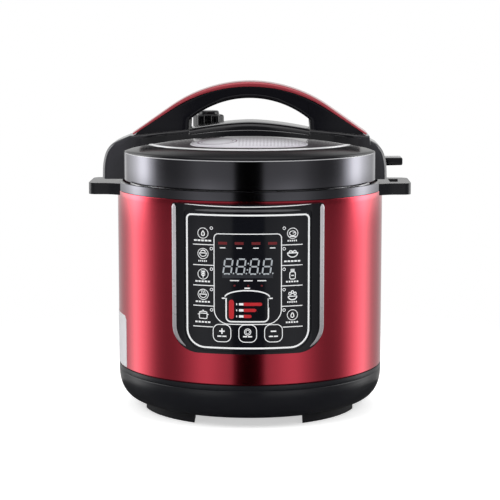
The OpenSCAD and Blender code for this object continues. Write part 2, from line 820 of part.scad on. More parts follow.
module inner_pot() {
    r = 16;
    color("#c9cccf") rotate_extrude() polygon(concat([[0, pot_z]],
        corner(pot_r + pot_t - r, pot_z + r, r, -90, 0),
        [[pot_r + pot_t, pot_rim_z], [pot_r + rim_w + 0.6, pot_rim_z], [pot_r + rim_w + 1.2, pot_rim_z + 1],
         [pot_r + rim_w + 1.2, pot_top - 1.4], [pot_r + rim_w, pot_top], [pot_r + 1.2, pot_top],
         [pot_r, pot_top - 1.4]],
        corner(pot_r + pot_t - r, pot_z + r, r - pot_t, 0, -90),
        [[0, pot_z + pot_t]]));
}

module sealing_ring() {
    color("#d9d6cf") rotate_extrude() polygon([
        [pot_r - 1, ring_z + 0.6], [pot_r - 0.2, ring_z], [pot_r + rim_w, ring_z],
        [ring_r, ring_z + 2.6], [ring_r, ring_z + ring_h - 3.4], [ring_r - 3.4, ring_z + ring_h],
        [pot_r - 0.5, ring_z + ring_h], [pot_r - 0.5, ring_z + ring_h - 2],
        [pot_r + 2.5, ring_z + ring_h - 3], [pot_r + 2.5, ring_z + 3], [pot_r - 1, ring_z + 2.3]]);
}

// Wire hoop that keeps the seal in the lid, on short pegs under the plate.
module gasket_rack() {
    z = ring_z + ring_h / 2;
    color("#b9bcc0") {
        rotate_extrude() translate([wire_at, z]) circle(r = wire_r, $fn = 24);
        for (i = [0 : 5]) at(30 + 60 * i, wire_at - wire_r - 0.8, z - 1)
            cylinder(r = 1.1, h = plate_under - z + 1);
    }
}

// ---------------------------------------------------------------- lid

module lid_plate() {
    under = plate_under;
    color("#b9bcc0") difference() {
        union() {
            rotate_extrude() polygon([
                [0, under + 2], [52, under + 2], [56, under], [skirt_r - 3, under], [skirt_r, under - 3],
                [skirt_r, lid_lug_z], [skirt_out, lid_lug_z], [skirt_out, under - 1.5],
                [skirt_out - 3, under + plate_t], [56.6, under + plate_t], [52.6, under + 2 + plate_t],
                [0, under + 2 + plate_t]]);
            for (i = [0 : lugs - 1])
                sector(lid_lug_r, skirt_r + 0.5, lid_lug_z, lid_lug_z + lug_t, lug_span, i * 360 / lugs);
        }
        for (p = pillars) translate([p[0], p[1], under - 1]) cylinder(r = 2.2, h = plate_t + 4);
        translate([knob_at[0], knob_at[1], under - 1]) cylinder(r = pipe_r + 0.1, h = plate_t + 4);
        translate([float_at[0], float_at[1], under - 1]) cylinder(r = float_r + 0.4, h = plate_t + 4);
    }
}

// Outer line of the cover from the top of the band to the disc's seat.
slope = [[lid_r, cover_z], [lid_r - 0.3, cover_z + 1.1], [lid_r - 2.6, cover_z + 2.6],
         [lid_r - 10, cover_z + 5.2], [disc_r + 5, rim_z - 0.5], [disc_r + 2.6, rim_z - 0.1]];

module lid_cover() {
    color("#17181b") difference() {
        rotate_extrude() polygon(concat(
            [[skirt_out + 0.3, lid_z + 0.2], [cover_in - touch, lid_z + 0.2], [cover_in - touch, cover_z]],
            slope, [[disc_r + 1.4, rim_z - 0.6], [disc_r + 1.4, rim_z - 1.6]],
            dome_line(disc_r, 0, disc_t + touch),
            dome_line(0, disc_r - 2, disc_t + cover_t),
            [[lid_r - 8, cover_z + 3.4 - cover_t], [skirt_out + 0.3, cover_z - 1.4]]));
        for (p = pillars) translate([p[0], p[1], lid_z]) cylinder(r = pillar_r + free, h = 80);
        translate([knob_at[0], knob_at[1], lid_z]) cylinder(r = weight_r + 1, h = 80);
        translate([float_at[0], float_at[1], lid_z]) cylinder(r = float_r + 2.6, h = 80);
    }
}

module lid_band() {
    color("#46484f") ring(cover_in, lid_r, lid_z, lid_z + lid_h);
}

module lid_disc() {
    color("#5a5c63") difference() {
        rotate_extrude() polygon(concat(dome_line(disc_r - 0.1, 0, 0), dome_line(0, disc_r - 0.1, disc_t)));
        for (p = pillars) translate([p[0], p[1], lid_z]) cylinder(r = pillar_r + free, h = 80);
        translate([knob_at[0], knob_at[1], lid_z]) cylinder(r = weight_r + 1, h = 80);
        translate([float_at[0], float_at[1], lid_z]) cylinder(r = float_r + 2 * free, h = 80);
    }
}

module disc_ring() {
    color("#d9dadd") rotate_extrude() polygon([[disc_r, rim_z - 1.2], [disc_r + 1.3, rim_z - 1.2],
        [disc_r + 1.3, rim_z + 0.3], [disc_r + 0.9, rim_z + 0.7], [disc_r, rim_z + 0.4]]);
}

// Plain oval plate on the dome in front of the handle.
label_back = bridge_w / 2 + 4;
label_x = disc_r - 46.5;
label_y = (disc_r - 11 - label_back) / 2;
label_c = -(label_back + label_y);

module lid_label() {
    color("#d4d5da") intersection() {
        rotate_extrude() polygon(concat(dome_line(disc_r - 4, 0, -0.3), dome_line(0, disc_r - 4, -0.02)));
        translate([0, 0, lid_z]) linear_extrude(height = 80) polygon([for (i = [0 : 47])
            let (a = 7.5 * i) [label_x * cos(a), label_c + label_y * sin(a)]]);
    }
}

// ---------------------------------------------------------------- handle

pillow_z = dome_top + bridge_h;
seat_z = pillow_z - 11;
leg_z = lid_z + 1.8;

// The outer line of the arch: a round crown that runs straight down on both sides.
arch_turn = arch_end - 37.5;
arch_r = (pow(arch_turn, 2) + pow(arch_drop, 2)) / (2 * arch_drop);
arch_slope = arch_turn / sqrt(pow(arch_r, 2) - pow(arch_turn, 2));
function arch_z(x) = abs(x) < arch_turn
    ? handle_top - arch_r + sqrt(pow(arch_r, 2) - x * x)
    : arch_z(arch_turn - tiny) - (abs(x) - arch_turn) * arch_slope;
function arch_tilt(x) = atan2(min(abs(x), arch_turn), sqrt(pow(arch_r, 2) - pow(min(abs(x), arch_turn), 2)))
    * sign(x);
function strip_depth(x) = strip_t - (strip_t - 2.4) * pow(abs(x) / arch_end, 1.5);
function under_strip(x, gap = 0) = let (t = arch_tilt(x), d = strip_depth(x) + gap)
    [x - d * sin(t), arch_z(x) - d * cos(t)];

// The window under the grip.
window_r = 95;
window_top = handle_top - grip_t;
function window_z(x) = window_top - window_r + sqrt(pow(window_r, 2) - x * x);

// What the arch stands on: level beside the window, and sinking a little to the strip's ends.
web_foot = window_w + 14;
seat_drop = max(2, seat_z - under_strip(arch_end)[1] + 0.2);
function seat(x) = seat_z - seat_drop * max(0, abs(x) - web_foot) / (arch_end - web_foot);

// Top of the pillow between the handle's feet.
function pillow(x) = pillow_z - 7.4 * pow(abs(x) / window_w, 1.7);

// Outer line of a leg, from its foot up to the shoulder, for a leg that reaches to r.
function leg_line(r) = [[r, leg_z], [r - 0.4, leg_z + 12], [r - 1.6, leg_z + 20], [r - 3.6, leg_z + 26.5],
    [r - 6.6, leg_z + 31.5], [r - 10.6, leg_z + 35.4], [r - 17, leg_z + 38.8]];

module bridge_profile() {
    foot = lid_r - 14;
    polygon(concat(
        [[-foot, leg_z]],
        [for (p = leg_line(leg_left)) [-p[0], p[1]]],
        [[-arch_end - 3, seat(arch_end) + 0.4], [-arch_end, seat(arch_end)], [-web_foot, seat_z],
         [-window_w, seat_z]],
        [for (i = [0 : 24]) let (x = -window_w + i * window_w / 12) [x, pillow(x)]],
        [[window_w, seat_z], [web_foot, seat_z], [arch_end, seat(arch_end)],
         [arch_end + 3, seat(arch_end) + 0.4]],
        [for (i = [6 : -1 : 0]) leg_line(leg_right)[i]],
        [[foot, leg_z]]));
}

// Side view of the bridge: a skirt that leans in, a short wall and a soft pillow.
module bridge_side() {
    h = bridge_w / 2;
    polygon([[-h - 5, leg_z], [-h - 5, dome_z(60) + 1], [-h, pillow_z - 10], [-h + 0.8, pillow_z - 6.4],
        [-h + 3, pillow_z - 4], [-h + 10, pillow_z - 1.4], [-h + 19, pillow_z - 0.2], [0, pillow_z],
        [h - 19, pillow_z - 0.2], [h - 10, pillow_z - 1.4], [h - 3, pillow_z - 4],
        [h - 0.8, pillow_z - 6.4], [h, pillow_z - 10], [h + 5, dome_z(60) + 1], [h + 5, leg_z]]);
}

// Plan of the band over the lid: narrow and round-cornered at the legs, wider over the dome.
module bridge_plan() {
    w = leg_w / 2;
    b = bridge_w / 2 + 5;
    r = 7;
    half = concat([[80, -b], [lid_r - 22, -w - 3], [lid_r - 10, -w]]);
    module side(reach) polygon(concat([[0, -b]], half,
        [for (i = [0 : 8]) let (a = -90 + i * 11.25) [reach - r + r * cos(a), -w + r + r * sin(a)]],
        [for (i = [0 : 8]) let (a = i * 11.25) [reach - r + r * cos(a), w - r + r * sin(a)]],
        [for (i = [2 : -1 : 0]) [half[i][0], -half[i][1]]], [[0, b]]));
    side(leg_right);
    mirror([1, 0]) side(leg_left);
}

// Everything of the lid that the handle lies on.
module lid_envelope() {
    rotate_extrude() polygon(concat([[0, lid_z - 5], [lid_r + touch, lid_z - 5], [lid_r + touch, cover_z]],
        [for (p = slope) [p[0] + touch, p[1] + touch]], [[disc_r + 1.4, rim_z + 0.8],
        [disc_r, rim_z + 0.8]], dome_line(disc_r, 0, -touch)));
}

module handle_bridge() {
    color("#17181b") difference() {
        union() {
            difference() {
                intersection() {
                    frontal(-bridge_w, bridge_w) bridge_profile();
                    rotate([90, 0, 90]) linear_extrude(height = 3 * lid_r, center = true) bridge_side();
                    linear_extrude(height = 2 * handle_top) bridge_plan();
                }
                lid_envelope();
            }
            for (p = pillars) translate([p[0], p[1], plate_under + plate_t + (abs(p[0]) < 52 ? 2 : 0)])
                cylinder(r = pillar_r, h = 22);
            translate([leg_right - 4, -fin_w / 2, lid_z + 14]) cube([fin_l + 4, fin_w, fin_t]);
        }
        for (p = pillars) translate([p[0], p[1], plate_under]) cylinder(r = 1.6 + touch, h = 17);
    }
}

// The grip with its two webs, under the coloured strip.
module handle_arch() {
    ends = arch_end - 3;
    color("#17181b") intersection() {
        frontal(-bridge_w, bridge_w) difference() {
            polygon(concat([[-ends, seat(ends) + touch]],
                [for (i = [0 : arcs]) under_strip(-ends + 2 * ends * i / arcs, touch)],
                [[ends, seat(ends) + touch], [web_foot, seat_z + touch],
                 [window_w, seat_z + touch], [-window_w, seat_z + touch],
                 [-web_foot, seat_z + touch]]));
            polygon(concat([[-window_w, seat_z - 1]],
                [for (i = [0 : 24]) let (x = -window_w + i * window_w / 12) [x, window_z(x)]],
                [[window_w, seat_z - 1]]));
        }
        rotate([90, 0, 90]) linear_extrude(height = 3 * lid_r, center = true) polygon([
            [-web_w / 2, seat_z - 9], [-web_w / 2, seat_z + 4], [-grip_w / 2 - 2, seat_z + 18],
            [-grip_w / 2, seat_z + 32], [-grip_w / 2, handle_top], [grip_w / 2, handle_top],
            [grip_w / 2, seat_z + 32], [grip_w / 2 + 2, seat_z + 18], [web_w / 2, seat_z + 4],
            [web_w / 2, seat_z - 9]]);
    }
}

// Coloured strip: a crowned section carried along the arch.
module handle_strip() {
    w = grip_w / 2;
    function section(x) = let (t = arch_tilt(x), d = strip_depth(x), flare = 6 * pow(abs(x) / arch_end, 3))
        [for (p = [[-1, -1], [-1, -0.45], [-0.95, -0.18], [-0.8, -0.04], [-0.4, 0], [0.4, 0], [0.8, -0.04],
                   [0.95, -0.18], [1, -0.45], [1, -1]])
            [x + p[1] * d * sin(t), p[0] * (w + flare), arch_z(x) + p[1] * d * cos(t)]];
    color("#b3273a") loft([for (i = [0 : arcs]) section(-arch_end + 2 * arch_end * i / arcs)]);
}

module handle_screws() {
    color("#9a9da1") for (p = pillars) translate([p[0], p[1], plate_under + (abs(p[0]) < 52 ? 2 : 0)]) {
        translate([0, 0, -2.2]) cylinder(r = 4, h = 2.2 - touch);
        translate([0, 0, -0.2]) cylinder(r = 1.6, h = 14);
    }
}

// ---------------------------------------------------------------- valves

module exhaust_pipe() {
    color("#c9cbcd") translate([knob_at[0], knob_at[1], 0]) difference() {
        union() {
            ring(0, pipe_r, plate_under - 8, pipe_top - 3);
            translate([0, 0, pipe_top - 3]) cylinder(r1 = pipe_r, r2 = 2.6, h = 3);
            ring(0, 7, plate_under + plate_t + 0.02, plate_under + plate_t + 2.5);
        }
        ring(0, 1.6, plate_under - 9, pipe_top + 1);
    }
}

module exhaust_nut() {
    color("#9a9da1") translate([knob_at[0], knob_at[1], plate_under - 4]) difference() {
        cylinder(r = 7, h = 4 - 0.02, $fn = 6);
        translate([0, 0, -1]) cylinder(r = pipe_r + touch, h = 8);
    }
}

// Slotted cap that keeps food off the exhaust.
module steam_shield() {
    z = plate_under - 12;
    color("#b9bcc0") translate([knob_at[0], knob_at[1], 0]) difference() {
        ring(0, 12, z, plate_under - 0.02);
        ring(0, 11, z + 1, plate_under + 1);
        for (i = [0 : 11]) rotate([0, 0, 30 * i]) translate([6, -0.9, z + 3]) cube([9, 1.8, 6]);
    }
}

float_travel = 5;

module float_valve() {
    color("#c9cbcd") translate([float_at[0], float_at[1], 0]) {
        ring(0, float_r, plate_under - float_travel - 2, dome_z(70) - 1);
        ring(0, float_r + 2, plate_under + plate_t + free, plate_under + plate_t + free + 1.5);
    }
}

module float_seal() {
    color("#b9402f") translate([float_at[0], float_at[1], 0]) {
        ring(float_r + touch, 5.6, plate_under - float_travel - 1.9, plate_under - float_travel - 0.4);
    }
}

weight_z = dome_top + 2;

module valve_weight() {
    color("#c9cbcd") translate([knob_at[0], knob_at[1], 0]) difference() {
        ring(0, weight_r, weight_z, pipe_top + 6);
        ring(0, pipe_r + 0.5, weight_z - 1, pipe_top - 1);
        translate([0, 0, pipe_top - 1 - tiny]) cylinder(r1 = pipe_r + 0.5, r2 = 2, h = 3.5);
    }
}

// Fluted knob over the weight, with a raised boss and a pointer.
module release_knob() {
    top = weight_z - 3 + knob_h;
    color("#1b1c1f") translate([knob_at[0], knob_at[1], 0]) difference() {
        union() {
            ring(0, knob_r, top - knob_h, top - 1.4);
            translate([0, 0, top - 1.4]) cylinder(r1 = knob_r, r2 = knob_r - 1.6, h = 1.4);
            translate([-4, -knob_r - 2.4, top - 9]) cube([8, 12, 9]);
            translate([0, 0, top]) cylinder(r1 = knob_r - 5, r2 = knob_r - 6, h = 4.2);
        }
        for (i = [1 : flutes - 1]) rotate([0, 0, -90 + i * 360 / flutes])
            translate([knob_r + 1.6, 0, top - knob_h - 1]) cylinder(r = 2.6, h = knob_h + 3);
        ring(0, knob_r - 2.4 - 1.4, top - knob_h - 1, top - knob_h + 3);
        ring(0, weight_r + free, top - knob_h - 1, pipe_top + 6 + free);
    }
}

// ---------------------------------------------------------------- assembly

base_pan();
feet();
foot_screws();
outer_shell();
collar();
collar_band();
drain_spout();
pressure_well();
support_posts();
heater_plate();
heater_terminals();
thermal_fuse();
pressure_switch();
power_board();
power_parts();
control_board();
display_module();
tact_switches();
panel_screws();
panel_bezel();
panel_film();
panel_trims();
power_inlet();
inlet_pins();
cup_bracket();
blank_label();
key_up();
key_stop();
key_down();
sensor_cap();
sensor_spring();
condensation_cup();
inner_pot();
sealing_ring();
gasket_rack();
lid_plate();
lid_cover();
lid_band();
lid_disc();
disc_ring();
lid_label();
handle_bridge();
handle_arch();
handle_strip();
handle_screws();
exhaust_pipe();
exhaust_nut();
steam_shield();
float_valve();
float_seal();
valve_weight();
release_knob();
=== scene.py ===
# %% [markdown]
# # An electric pressure cooker, dressed around its CAD parts
#
# The CAD model gives every part its true size and place. This lesson gives those parts their
# looks: lacquer, satin metal, glossy and grained mouldings, and a printed panel. Each step says
# what the piece is on the real cooker and why it is made the way it is.
#
# Lengths are worked out in millimetres, as on a drawing, and become metres when a mesh is made.
# The camera, the materials and the studio are in metres.

# %% Load the CAD parts
import json
import math

import bmesh
import bpy
import numpy as np
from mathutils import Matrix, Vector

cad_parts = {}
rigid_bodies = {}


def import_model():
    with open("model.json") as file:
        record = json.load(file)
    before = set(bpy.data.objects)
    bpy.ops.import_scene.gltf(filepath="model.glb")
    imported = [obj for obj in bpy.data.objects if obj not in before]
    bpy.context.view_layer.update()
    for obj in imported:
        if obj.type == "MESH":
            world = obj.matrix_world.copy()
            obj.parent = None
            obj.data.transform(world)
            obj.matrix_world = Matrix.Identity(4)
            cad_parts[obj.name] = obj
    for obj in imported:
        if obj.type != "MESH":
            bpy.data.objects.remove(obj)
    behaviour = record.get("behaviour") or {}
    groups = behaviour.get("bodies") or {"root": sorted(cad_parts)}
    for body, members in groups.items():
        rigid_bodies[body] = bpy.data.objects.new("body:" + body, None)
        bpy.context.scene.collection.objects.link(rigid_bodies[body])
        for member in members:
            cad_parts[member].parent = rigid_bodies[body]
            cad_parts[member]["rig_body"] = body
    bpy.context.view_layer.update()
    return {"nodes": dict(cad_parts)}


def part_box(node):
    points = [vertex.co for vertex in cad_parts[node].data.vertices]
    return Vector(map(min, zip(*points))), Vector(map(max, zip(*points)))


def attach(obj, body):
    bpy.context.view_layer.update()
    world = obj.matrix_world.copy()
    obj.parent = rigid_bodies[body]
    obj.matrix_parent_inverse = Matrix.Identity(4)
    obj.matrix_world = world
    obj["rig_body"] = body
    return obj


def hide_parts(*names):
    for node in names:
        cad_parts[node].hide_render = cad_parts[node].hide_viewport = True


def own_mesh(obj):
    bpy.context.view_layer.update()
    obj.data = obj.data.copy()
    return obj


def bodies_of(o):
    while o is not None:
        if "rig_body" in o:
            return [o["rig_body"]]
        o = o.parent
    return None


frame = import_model()
MM = 0.001


def box_mm(node):
    """Lowest and highest corner of a CAD node, in millimetres."""
    low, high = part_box(node)
    return np.array(low) / MM, np.array(high) / MM


# %% [markdown]
# ## Camera
#
# The cooker is seen from the front, a little above the lid's edge, through a long lens: the
# sides of the body stay almost straight and only a sliver of the lid's top shows.

# %% Camera
CAMERA_TURN, CAMERA_TILT = math.radians(0.9), math.radians(7.94)
CAMERA_AWAY, CAMERA_UP = 1.710, 0.396       # metres
LENS, SENSOR = 121.6, 36


def add_object(name, data):
    """A new object with its data, linked to the scene."""
    thing = bpy.data.objects.new(name, data)
    bpy.context.scene.collection.objects.link(thing)
    return thing


camera = add_object("camera", bpy.data.cameras.new("camera"))
camera.location = (CAMERA_AWAY * math.sin(CAMERA_TURN), -CAMERA_AWAY * math.cos(CAMERA_TURN),
                   CAMERA_UP)
camera.rotation_euler = (math.pi / 2 - CAMERA_TILT, 0, CAMERA_TURN)
camera.data.sensor_width, camera.data.lens = SENSOR, LENS
camera.data.clip_start, camera.data.clip_end = 0.05, 50
bpy.context.scene.camera = camera
bpy.context.scene.view_settings.view_transform = "Standard"
print("camera", CAMERA_AWAY, "m away")

# %% [markdown]
# ## Surfaces from numbers
#
# A new piece is a grid of points worked out with numpy: one direction of the grid follows a
# profile, the other a path. These helpers turn such a grid into a closed mesh. A closed profile
# carried round an axis or along a path needs no more than its ends closed.


# %% From a grid of points to a mesh
def joined(*coordinates):
    """Points from their coordinates; arrays of fewer rows or columns are repeated to fit."""
    return np.stack(np.broadcast_arrays(*coordinates), -1)


def grid_faces(rows, cols, wrap_rows, wrap_cols):
    """Corner numbers of the four-sided faces between neighbouring rows and columns."""
    r = np.arange(rows if wrap_rows else rows - 1)[:, None]
    c = np.arange(cols if wrap_cols else cols - 1)[None, :]
    r2, c2 = (r + 1) % rows, (c + 1) % cols
    return joined(r * cols + c, r * cols + c2, r2 * cols + c2, r2 * cols + c).reshape(-1, 4)


def add_piece(name, points, faces, material, body, replaces=(), sharp=None, closed=True):
    """Points in millimetres and faces become an object that rides on a body."""
    mesh = bpy.data.meshes.new(name)
    mesh.from_pydata((np.asarray(points, float) * MM).tolist(), [], [list(f) for f in faces])
    work = bmesh.new()
    work.from_mesh(mesh)
    bmesh.ops.remove_doubles(work, verts=work.verts, dist=1e-6)
    if closed:
        bmesh.ops.recalc_face_normals(work, faces=work.faces)
    work.to_mesh(mesh)
    work.free()
    mesh.shade_smooth()
    if sharp is not None:
        mesh.set_sharp_from_angle(angle=math.radians(sharp))
    return place(name, mesh, material, body, replaces)


def place(name, mesh, material, body, replaces=()):
    """Makes a mesh a piece with one material, on a body, in place of some CAD nodes."""
    piece = add_object(name, mesh)
    mesh.materials.clear()
    mesh.materials.append(material)
    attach(piece, body)
    if replaces:
        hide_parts(*replaces)
    print(name, "rides on", body, "and has", len(mesh.polygons), "faces")
    return piece


def grid_piece(name, grid, material, body, replaces=(), sharp=None, wrap_rows=False):
    """A grid of shape (rows, columns, 3) whose columns close to a ring. Rows that don't are
    closed at both ends by a fan round their middle."""
    rows, cols = grid.shape[:2]
    points = grid.reshape(-1, 3)
    faces = grid_faces(rows, cols, wrap_rows, True).tolist()
    if not wrap_rows:
        for row, turn in ((0, 1), (rows - 1, -1)):
            middle = len(points)
            points = np.vstack([points, grid[row].mean(0)])
            ring = row * cols + np.arange(cols)
            faces += [list(f)[::turn] for f in zip(np.roll(ring, -1), ring, [middle] * cols)]
    return add_piece(name, points, faces, material, body, replaces, sharp)


def fillet(corners, radius, steps=5):
    """Closed outline with its corners rounded. Each corner becomes a short curve that starts
    one radius before it and ends one radius after it: (1-t)^2 start + 2t(1-t) corner + t^2 end."""
    p = np.asarray(corners, float)

    def towards(neighbour):
        """Points on the sides, one radius away from the corners."""
        side = np.roll(p, neighbour, 0) - p
        length = np.linalg.norm(side, axis=1)
        return p + side * (np.minimum(radius, 0.49 * length) / length)[:, None]

    start, corner, end = towards(1)[:, None], p[:, None], towards(-1)[:, None]
    t = np.linspace(0, 1, steps + 1)[:, None]
    return ((1 - t) ** 2 * start + 2 * t * (1 - t) * corner + t ** 2 * end).reshape(-1, 2)


def revolve(profile):
    """Grid of a profile (radius, height) turned round the vertical axis:
    x = r sin a, y = -r cos a."""
    turn = np.linspace(0, 2 * math.pi, 256, endpoint=False)
    r, z = np.asarray(profile, float).T[..., None]
    return joined(r * np.sin(turn), -r * np.cos(turn), z)


def both_sides(x, half, z):
    """Closed sections from half ones: the right side, then the left one backwards."""
    return np.hstack([joined(x, half, z), joined(x, -half, z)[:, ::-1]])


def smooth_line(points, per_span):
    """Catmull-Rom curve: between two points it is the cubic whose slope at each point is half
    the way from the point before it to the point after it."""
    p = np.asarray(points, float)
    padded = np.vstack([2 * p[0] - p[1], p, 2 * p[-1] - p[-2]])[:, None]
    a, b, c, d = padded[:-3], padded[1:-2], padded[2:-1], padded[3:]
    t = np.linspace(0, 1, per_span, endpoint=False)[:, None]
    line = 0.5 * (2 * b + (c - a) * t + (2 * a - 5 * b + 4 * c - d) * t ** 2
                  + (3 * b - a - 3 * c + d) * t ** 3)
    return np.vstack([line.reshape(-1, 2), p[-1]])


# %% [markdown]
# ## Finishes
#
# Every finish starts from Blender's Principled shader. A noise texture on Object coordinates
# varies its roughness and colour a little, and a bump gives the grain of the moulding or the
# hairlines of brushed metal. Stretching the noise in one direction turns specks into lines.


# %% Shader nodes in few words
def new_tree(name):
    """A material and its node tree."""
    material = bpy.data.materials.new(name)
    material.use_nodes = True
    return material, material.node_tree


def fill(node, inputs):
    """Puts values on a node's sockets."""
    for socket, value in inputs.items():
        node.inputs[socket].default_value = value


def add_node(tree, kind, inputs=(), **settings):
    """A shader node with its own settings and the values of its sockets."""
    node = tree.nodes.new("ShaderNode" + kind)
    for key, value in settings.items():
        setattr(node, key, value)
    fill(node, dict(inputs))
    return node


def wire(tree, *links):
    """Links sockets: each link is (node, output, node, input)."""
    for start, output, end, socket in links:
        tree.links.new(start.outputs[output], end.inputs[socket])


# %% One helper for the common finishes
def finish(name, colour, metallic=0, roughness=0.4, grain=900, vary=0.05, tint=0.12, bump=0,
           stretch=(1, 1, 1), coat=0, coat_roughness=0.05, transmission=0, specular=0.5, light_and_shade_zone=None):
    """Principled material: noise moves roughness by +-vary and darkens the colour by tint. A
    light_and_shade_zone (axis, start, end, factor) multiplies the colour by factor from one place to
    another, which paints light and shade into the colour."""
    material, tree = new_tree(name)
    shader = tree.nodes["Principled BSDF"]
    fill(shader, {"Metallic": metallic, "Coat Weight": coat, "Coat Roughness": coat_roughness,
                  "Transmission Weight": transmission, "Specular IOR Level": specular})
    place_on = add_node(tree, "TexCoord")
    scale = add_node(tree, "Mapping", {"Scale": stretch})
    noise = add_node(tree, "TexNoise", {"Scale": grain, "Detail": 3})
    rough = add_node(tree, "MapRange", {"To Min": max(0.02, roughness - vary),
                                        "To Max": roughness + vary})
    dark, light = ((*[min(1, c * (1 + t)) for c in colour], 1) for t in (-tint, tint))
    tone = add_node(tree, "Mix", data_type="RGBA")
    fill(tone, {"A": dark, "B": light})
    wire(tree, (place_on, "Object", scale, "Vector"), (scale, "Vector", noise, "Vector"),
         (noise, "Fac", rough, "Value"), (rough, "Result", shader, "Roughness"),
         (noise, "Fac", tone, "Factor"), (tone, "Result", shader, "Base Color"))
    if light_and_shade_zone:
        axis, start, end, factor = light_and_shade_zone
        parts = add_node(tree, "SeparateXYZ")
        size = add_node(tree, "Math", operation="ABSOLUTE")
        change = add_node(tree, "MapRange", {"From Min": start, "From Max": end, "To Min": 1,
                                             "To Max": factor})
        scaled = add_node(tree, "VectorMath", operation="SCALE")
        wire(tree, (place_on, "Object", parts, 0), (parts, axis, size, 0),
             (size, 0, change, "Value"), (tone, "Result", scaled, 0),
             (change, "Result", scaled, "Scale"), (scaled, 0, shader, "Base Color"))
    if bump:
        relief = add_node(tree, "Bump", {"Strength": bump, "Distance": 0.0002})
        wire(tree, (noise, "Fac", relief, "Height"), (relief, "Normal", shader, "Normal"))
    return material


# %% The finishes
# Name, colour, metallic, roughness, grain, then how much roughness and colour vary, and bump.
HAIRLINES = (1, 1, 60)      # rings round the body: quick change in height, slow along the turn
red_lacquer = finish("red_lacquer", (0.9, 0.05, 0.095), 1, 0.2, 30, 0.02, 0.05,
                     stretch=HAIRLINES, coat=0.8, coat_roughness=0.12)
gunmetal = finish("gunmetal_satin", (0.213, 0.211, 0.237), 1, 0.16, 30, 0.03, 0.06,
                  stretch=HAIRLINES)
gloss_black = finish("gloss_black", (0.006, 0.006, 0.008), 0, 0.11, 400, 0.02, specular=0.42)
satin_black = finish("satin_black", (0.01, 0.0105, 0.013), 0, 0.24, 1500, 0.04, bump=0.12,
                     specular=0.45)
foot_rubber = finish("foot_rubber", (0.013, 0.013, 0.016), 0, 0.5, 2500, bump=0.4, specular=0.3)
# Painted shade on the trims: their colour falls from full at 0.17 m high to 0.35 of it at 0.055 m,
# towards the panel's lower corners.
bright_trim = finish("bright_trim", (0.62, 0.6, 0.63), 0.35, 0.28, 200, 0.03, 0.03, coat=0.3,
                     light_and_shade_zone=("Z", 0.17, 0.055, 0.35))
# Painted sheen: the saddle's colour grows up to 3.6 times lighter from 0.1 m to 0.128 m out from the
# middle, so the legs look grey.
saddle_black = finish("saddle_black", (0.008, 0.008, 0.0095), 0, 0.14, 900, 0.03,
                      specular=0.75, light_and_shade_zone=("X", 0.1, 0.128, 3.6))
# Near-white line finish: the ring round the disc shows its bright metal with it, and the panel's brow
# line is a painted glint.
chrome_and_painted_glint = finish("chrome_and_painted_glint", (0.95, 0.95, 0.97), 0.2, 0.18, 300, 0.02, 0.04)
painted_highlight_edge = finish("painted_highlight_edge", (0.62, 0.62, 0.64), 0.3, 0.3, 300, 0.02, 0.04)
brow_black = finish("brow_black", (0.09, 0.09, 0.096), 0, 0.16, 700, 0.02, specular=0.8)
rim_black = finish("rim_black", (0.007, 0.007, 0.0085), 0, 0.2, 700, 0.03, specular=0.3)
dome_grey = finish("smoked_dome", (0.13, 0.115, 0.125), 0.4, 0.16, 14, 0.06, 0.5, coat=0.4)
# Painted shade on the plate: its colour is 5.3 times darker at its rear edge, next to the handle, than at
# its front.
plate_silver = finish("silver_plate", (0.16, 0.157, 0.168), 0.25, 0.3, 60, 0.06, 0.06,
                      stretch=(1, 12, 1), light_and_shade_zone=("Y", 0.044, 0.074, 5.3))
film_black = finish("panel_film", (0.006, 0.0065, 0.009), 0, 0.1, 1800, 0.02, 0.3, specular=0.42)
key_black = finish("key_black", (0.008, 0.0085, 0.011), 0, 0.14, 1500, 0.03, specular=0.42)
spun_steel = finish("spun_steel", (0.62, 0.62, 0.64), 1, 0.26, 40, 0.06, 0.08, 0.05, (1, 1, 40))
plain_steel = finish("plain_steel", (0.5, 0.5, 0.52), 1, 0.3, 700)
cast_metal = finish("cast_aluminium", (0.6, 0.6, 0.61), 1, 0.5, 1200, bump=0.4)
clear_tint = finish("clear_cup", (0.75, 0.8, 0.85), 0, 0.08, 300, 0.02, 0.02, transmission=0.9)
silicone = finish("silicone", (0.7, 0.68, 0.63), 0, 0.45, 600, bump=0.1)
red_silicone = finish("red_silicone", (0.45, 0.06, 0.04), 0, 0.5)
board_green = finish("solder_mask", (0.03, 0.16, 0.06), 0, 0.35, 500, tint=0.25)
moulded_parts = finish("moulded_parts", (0.4, 0.3, 0.08), 0, 0.5, 150, tint=0.4)
cream_parts = finish("cream_parts", (0.7, 0.67, 0.56), 0, 0.5, 600)
dark_parts = finish("dark_parts", (0.02, 0.02, 0.024), 0, 0.35)
red_strip = finish("red_strip", (0.46, 0.05, 0.07), 0.45, 0.25, 60, 0.03, 0.08, coat=1,
                   coat_roughness=0.22)
sticker = finish("pale_sticker", (0.76, 0.76, 0.78), 0, 0.45, 250, tint=0.04)
print("finishes:", len(bpy.data.materials))


# %% [markdown]
# ## Finishes on the CAD parts
#
# Every CAD part gets the finish of the stuff it is made of. Parts that get a richer surface of
# their own further down are replaced there, but they are finished here too, so that nothing is
# left plain.

